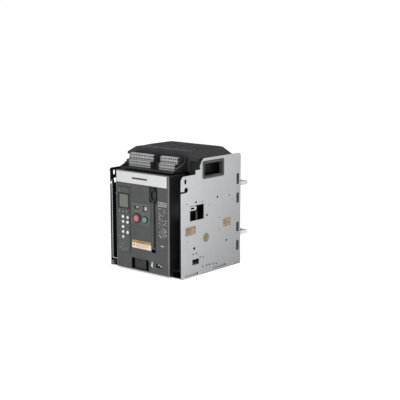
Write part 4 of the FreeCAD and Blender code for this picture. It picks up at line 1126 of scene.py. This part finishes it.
class BREAKER_OT_stage(bpy.types.Operator):
    """Build the floor, the lights and the camera"""
    bl_idname = "breaker.stage"
    bl_label = "Studio"

    def execute(self, context):
        scene = context.scene
        s = scene.breaker_stage
        back = Vector((math.sin(s.azimuth) * math.cos(s.elevation),
                       -math.cos(s.azimuth) * math.cos(s.elevation), math.sin(s.elevation)))
        right = (-back).cross(Vector((0, 0, 1))).normalized()
        up = right.cross(-back)
        foot = Vector((0, PLATE_FRONT * MM, 0))
        camera = bpy.data.objects.new("studio_camera", bpy.data.cameras.new("studio_camera"))
        scene.collection.objects.link(camera)
        camera.location = foot + right * s.shift_right + up * s.shift_up + back * s.distance
        camera.rotation_mode = "QUATERNION"
        camera.rotation_quaternion = (-back).to_track_quat("-Z", "Y")
        camera.data.lens = s.lens
        camera.data.sensor_width = 36.0
        camera.data.clip_start, camera.data.clip_end = 0.05, 60.0
        scene.camera = camera
        self.floor(scene, s)
        self.lights(scene, s)
        self.surround(scene, s)
        scene.view_settings.view_transform = "Standard"
        return {"FINISHED"}

    def floor(self, scene, s):
        """Large pale floor that curves up on every side; its lengths are in metres, as the lights' are."""
        bm = bmesh.new()
        profile = ((2.0, 0.0), (6.0, 0.0), (10.0, 0.1), (13.0, 0.5), (15.0, 1.2))
        sides, drop = 64, 0.5 * MM
        rings = [[bm.verts.new((*p, height)) for p in circle((0, 0), radius, sides)]
                 for radius, height in profile]
        bm.faces.new(rings[0])
        for a, b in zip(rings, rings[1:]):
            for i in range(sides):
                j = (i + 1) % sides
                bm.faces.new([a[i], b[i], b[j], a[j]])
        for face in bm.faces:
            face.smooth = True
        mesh = bpy.data.meshes.new("studio_floor")
        bm.to_mesh(mesh)
        bm.free()
        floor = bpy.data.objects.new("studio_floor", mesh)
        floor.location.z = -drop
        scene.collection.objects.link(floor)
        mesh.materials.append(moulded(
            "studio floor", tuple(s.floor), 0.85, 0.01, 20, 0.0, Specular_IOR_Level=0.1,
            Emission_Color=(1, 1, 1, 1), Emission_Strength=s.floor_glow))

    def lights(self, scene, s):
        """Near key from the right front, fill from the left front and a broad top light."""
        middle = Vector((0, 0, 0.17))
        for name, spot, size, power in (
            ("key_light", Vector((0.75, -0.85, 1.15)), 0.7, s.key_power),
            ("fill_light", Vector((-2.0, -2.2, 1.1)), 1.8, s.fill_power),
            ("top_light", Vector((0.1, 0.5, 2.6)), 2.2, s.top_power),
        ):
            lamp = bpy.data.lights.new(name, "AREA")
            lamp.shape = "SQUARE"
            lamp.size = size
            lamp.energy = power
            light = bpy.data.objects.new(name, lamp)
            light.location = spot
            light.rotation_mode = "QUATERNION"
            light.rotation_quaternion = (middle - spot).to_track_quat("-Z", "Y")
            scene.collection.objects.link(light)

    def surround(self, scene, s):
        world = bpy.data.worlds.new("studio_surround")
        world.use_nodes = True
        background = world.node_tree.nodes["Background"]
        background.inputs["Color"].default_value = (1, 1, 1, 1)
        background.inputs["Strength"].default_value = s.surround
        scene.world = world


# ---------------------------------------------------------------- add-on

PIECE_OPERATORS = (
    BREAKER_OT_steelwork, BREAKER_OT_mouldings, BREAKER_OT_metalwork, BREAKER_OT_controls,
    BREAKER_OT_plate_fittings, BREAKER_OT_terminal_blocks, BREAKER_OT_hood_detail, BREAKER_OT_rear_detail,
    BREAKER_OT_cover_detail, BREAKER_OT_trip_unit_detail, BREAKER_OT_button_detail, BREAKER_OT_handle,
    BREAKER_OT_racking_detail, BREAKER_OT_stage,
)


class BREAKER_PT_sidebar(bpy.types.Panel):
    """Lists the build steps in order"""
    bl_idname = "BREAKER_PT_sidebar"
    bl_label = "Air circuit breaker"
    bl_space_type = "VIEW_3D"
    bl_region_type = "UI"
    bl_category = "Breaker"

    def draw(self, context):
        for operator in PIECE_OPERATORS:
            self.layout.operator(operator.bl_idname)
        scene = context.scene
        for group in (scene.breaker_finishes, scene.breaker_terminals, scene.breaker_stage):
            for name in group.__annotations__:
                self.layout.prop(group, name)


CLASSES = (BREAKER_PG_finishes, BREAKER_PG_terminals, BREAKER_PG_stage, *PIECE_OPERATORS, BREAKER_PT_sidebar)


def register():
    for cls in CLASSES:
        bpy.utils.register_class(cls)
    bpy.types.Scene.breaker_finishes = bpy.props.PointerProperty(type=BREAKER_PG_finishes)
    bpy.types.Scene.breaker_terminals = bpy.props.PointerProperty(type=BREAKER_PG_terminals)
    bpy.types.Scene.breaker_stage = bpy.props.PointerProperty(type=BREAKER_PG_stage)


def unregister():
    del bpy.types.Scene.breaker_stage
    del bpy.types.Scene.breaker_terminals
    del bpy.types.Scene.breaker_finishes
    for cls in reversed(CLASSES):
        bpy.utils.unregister_class(cls)


def main():
    register()
    for operator in PIECE_OPERATORS:
        group, name = operator.bl_idname.split(".")
        getattr(getattr(bpy.ops, group), name)()


if __name__ == "__main__":
    main()
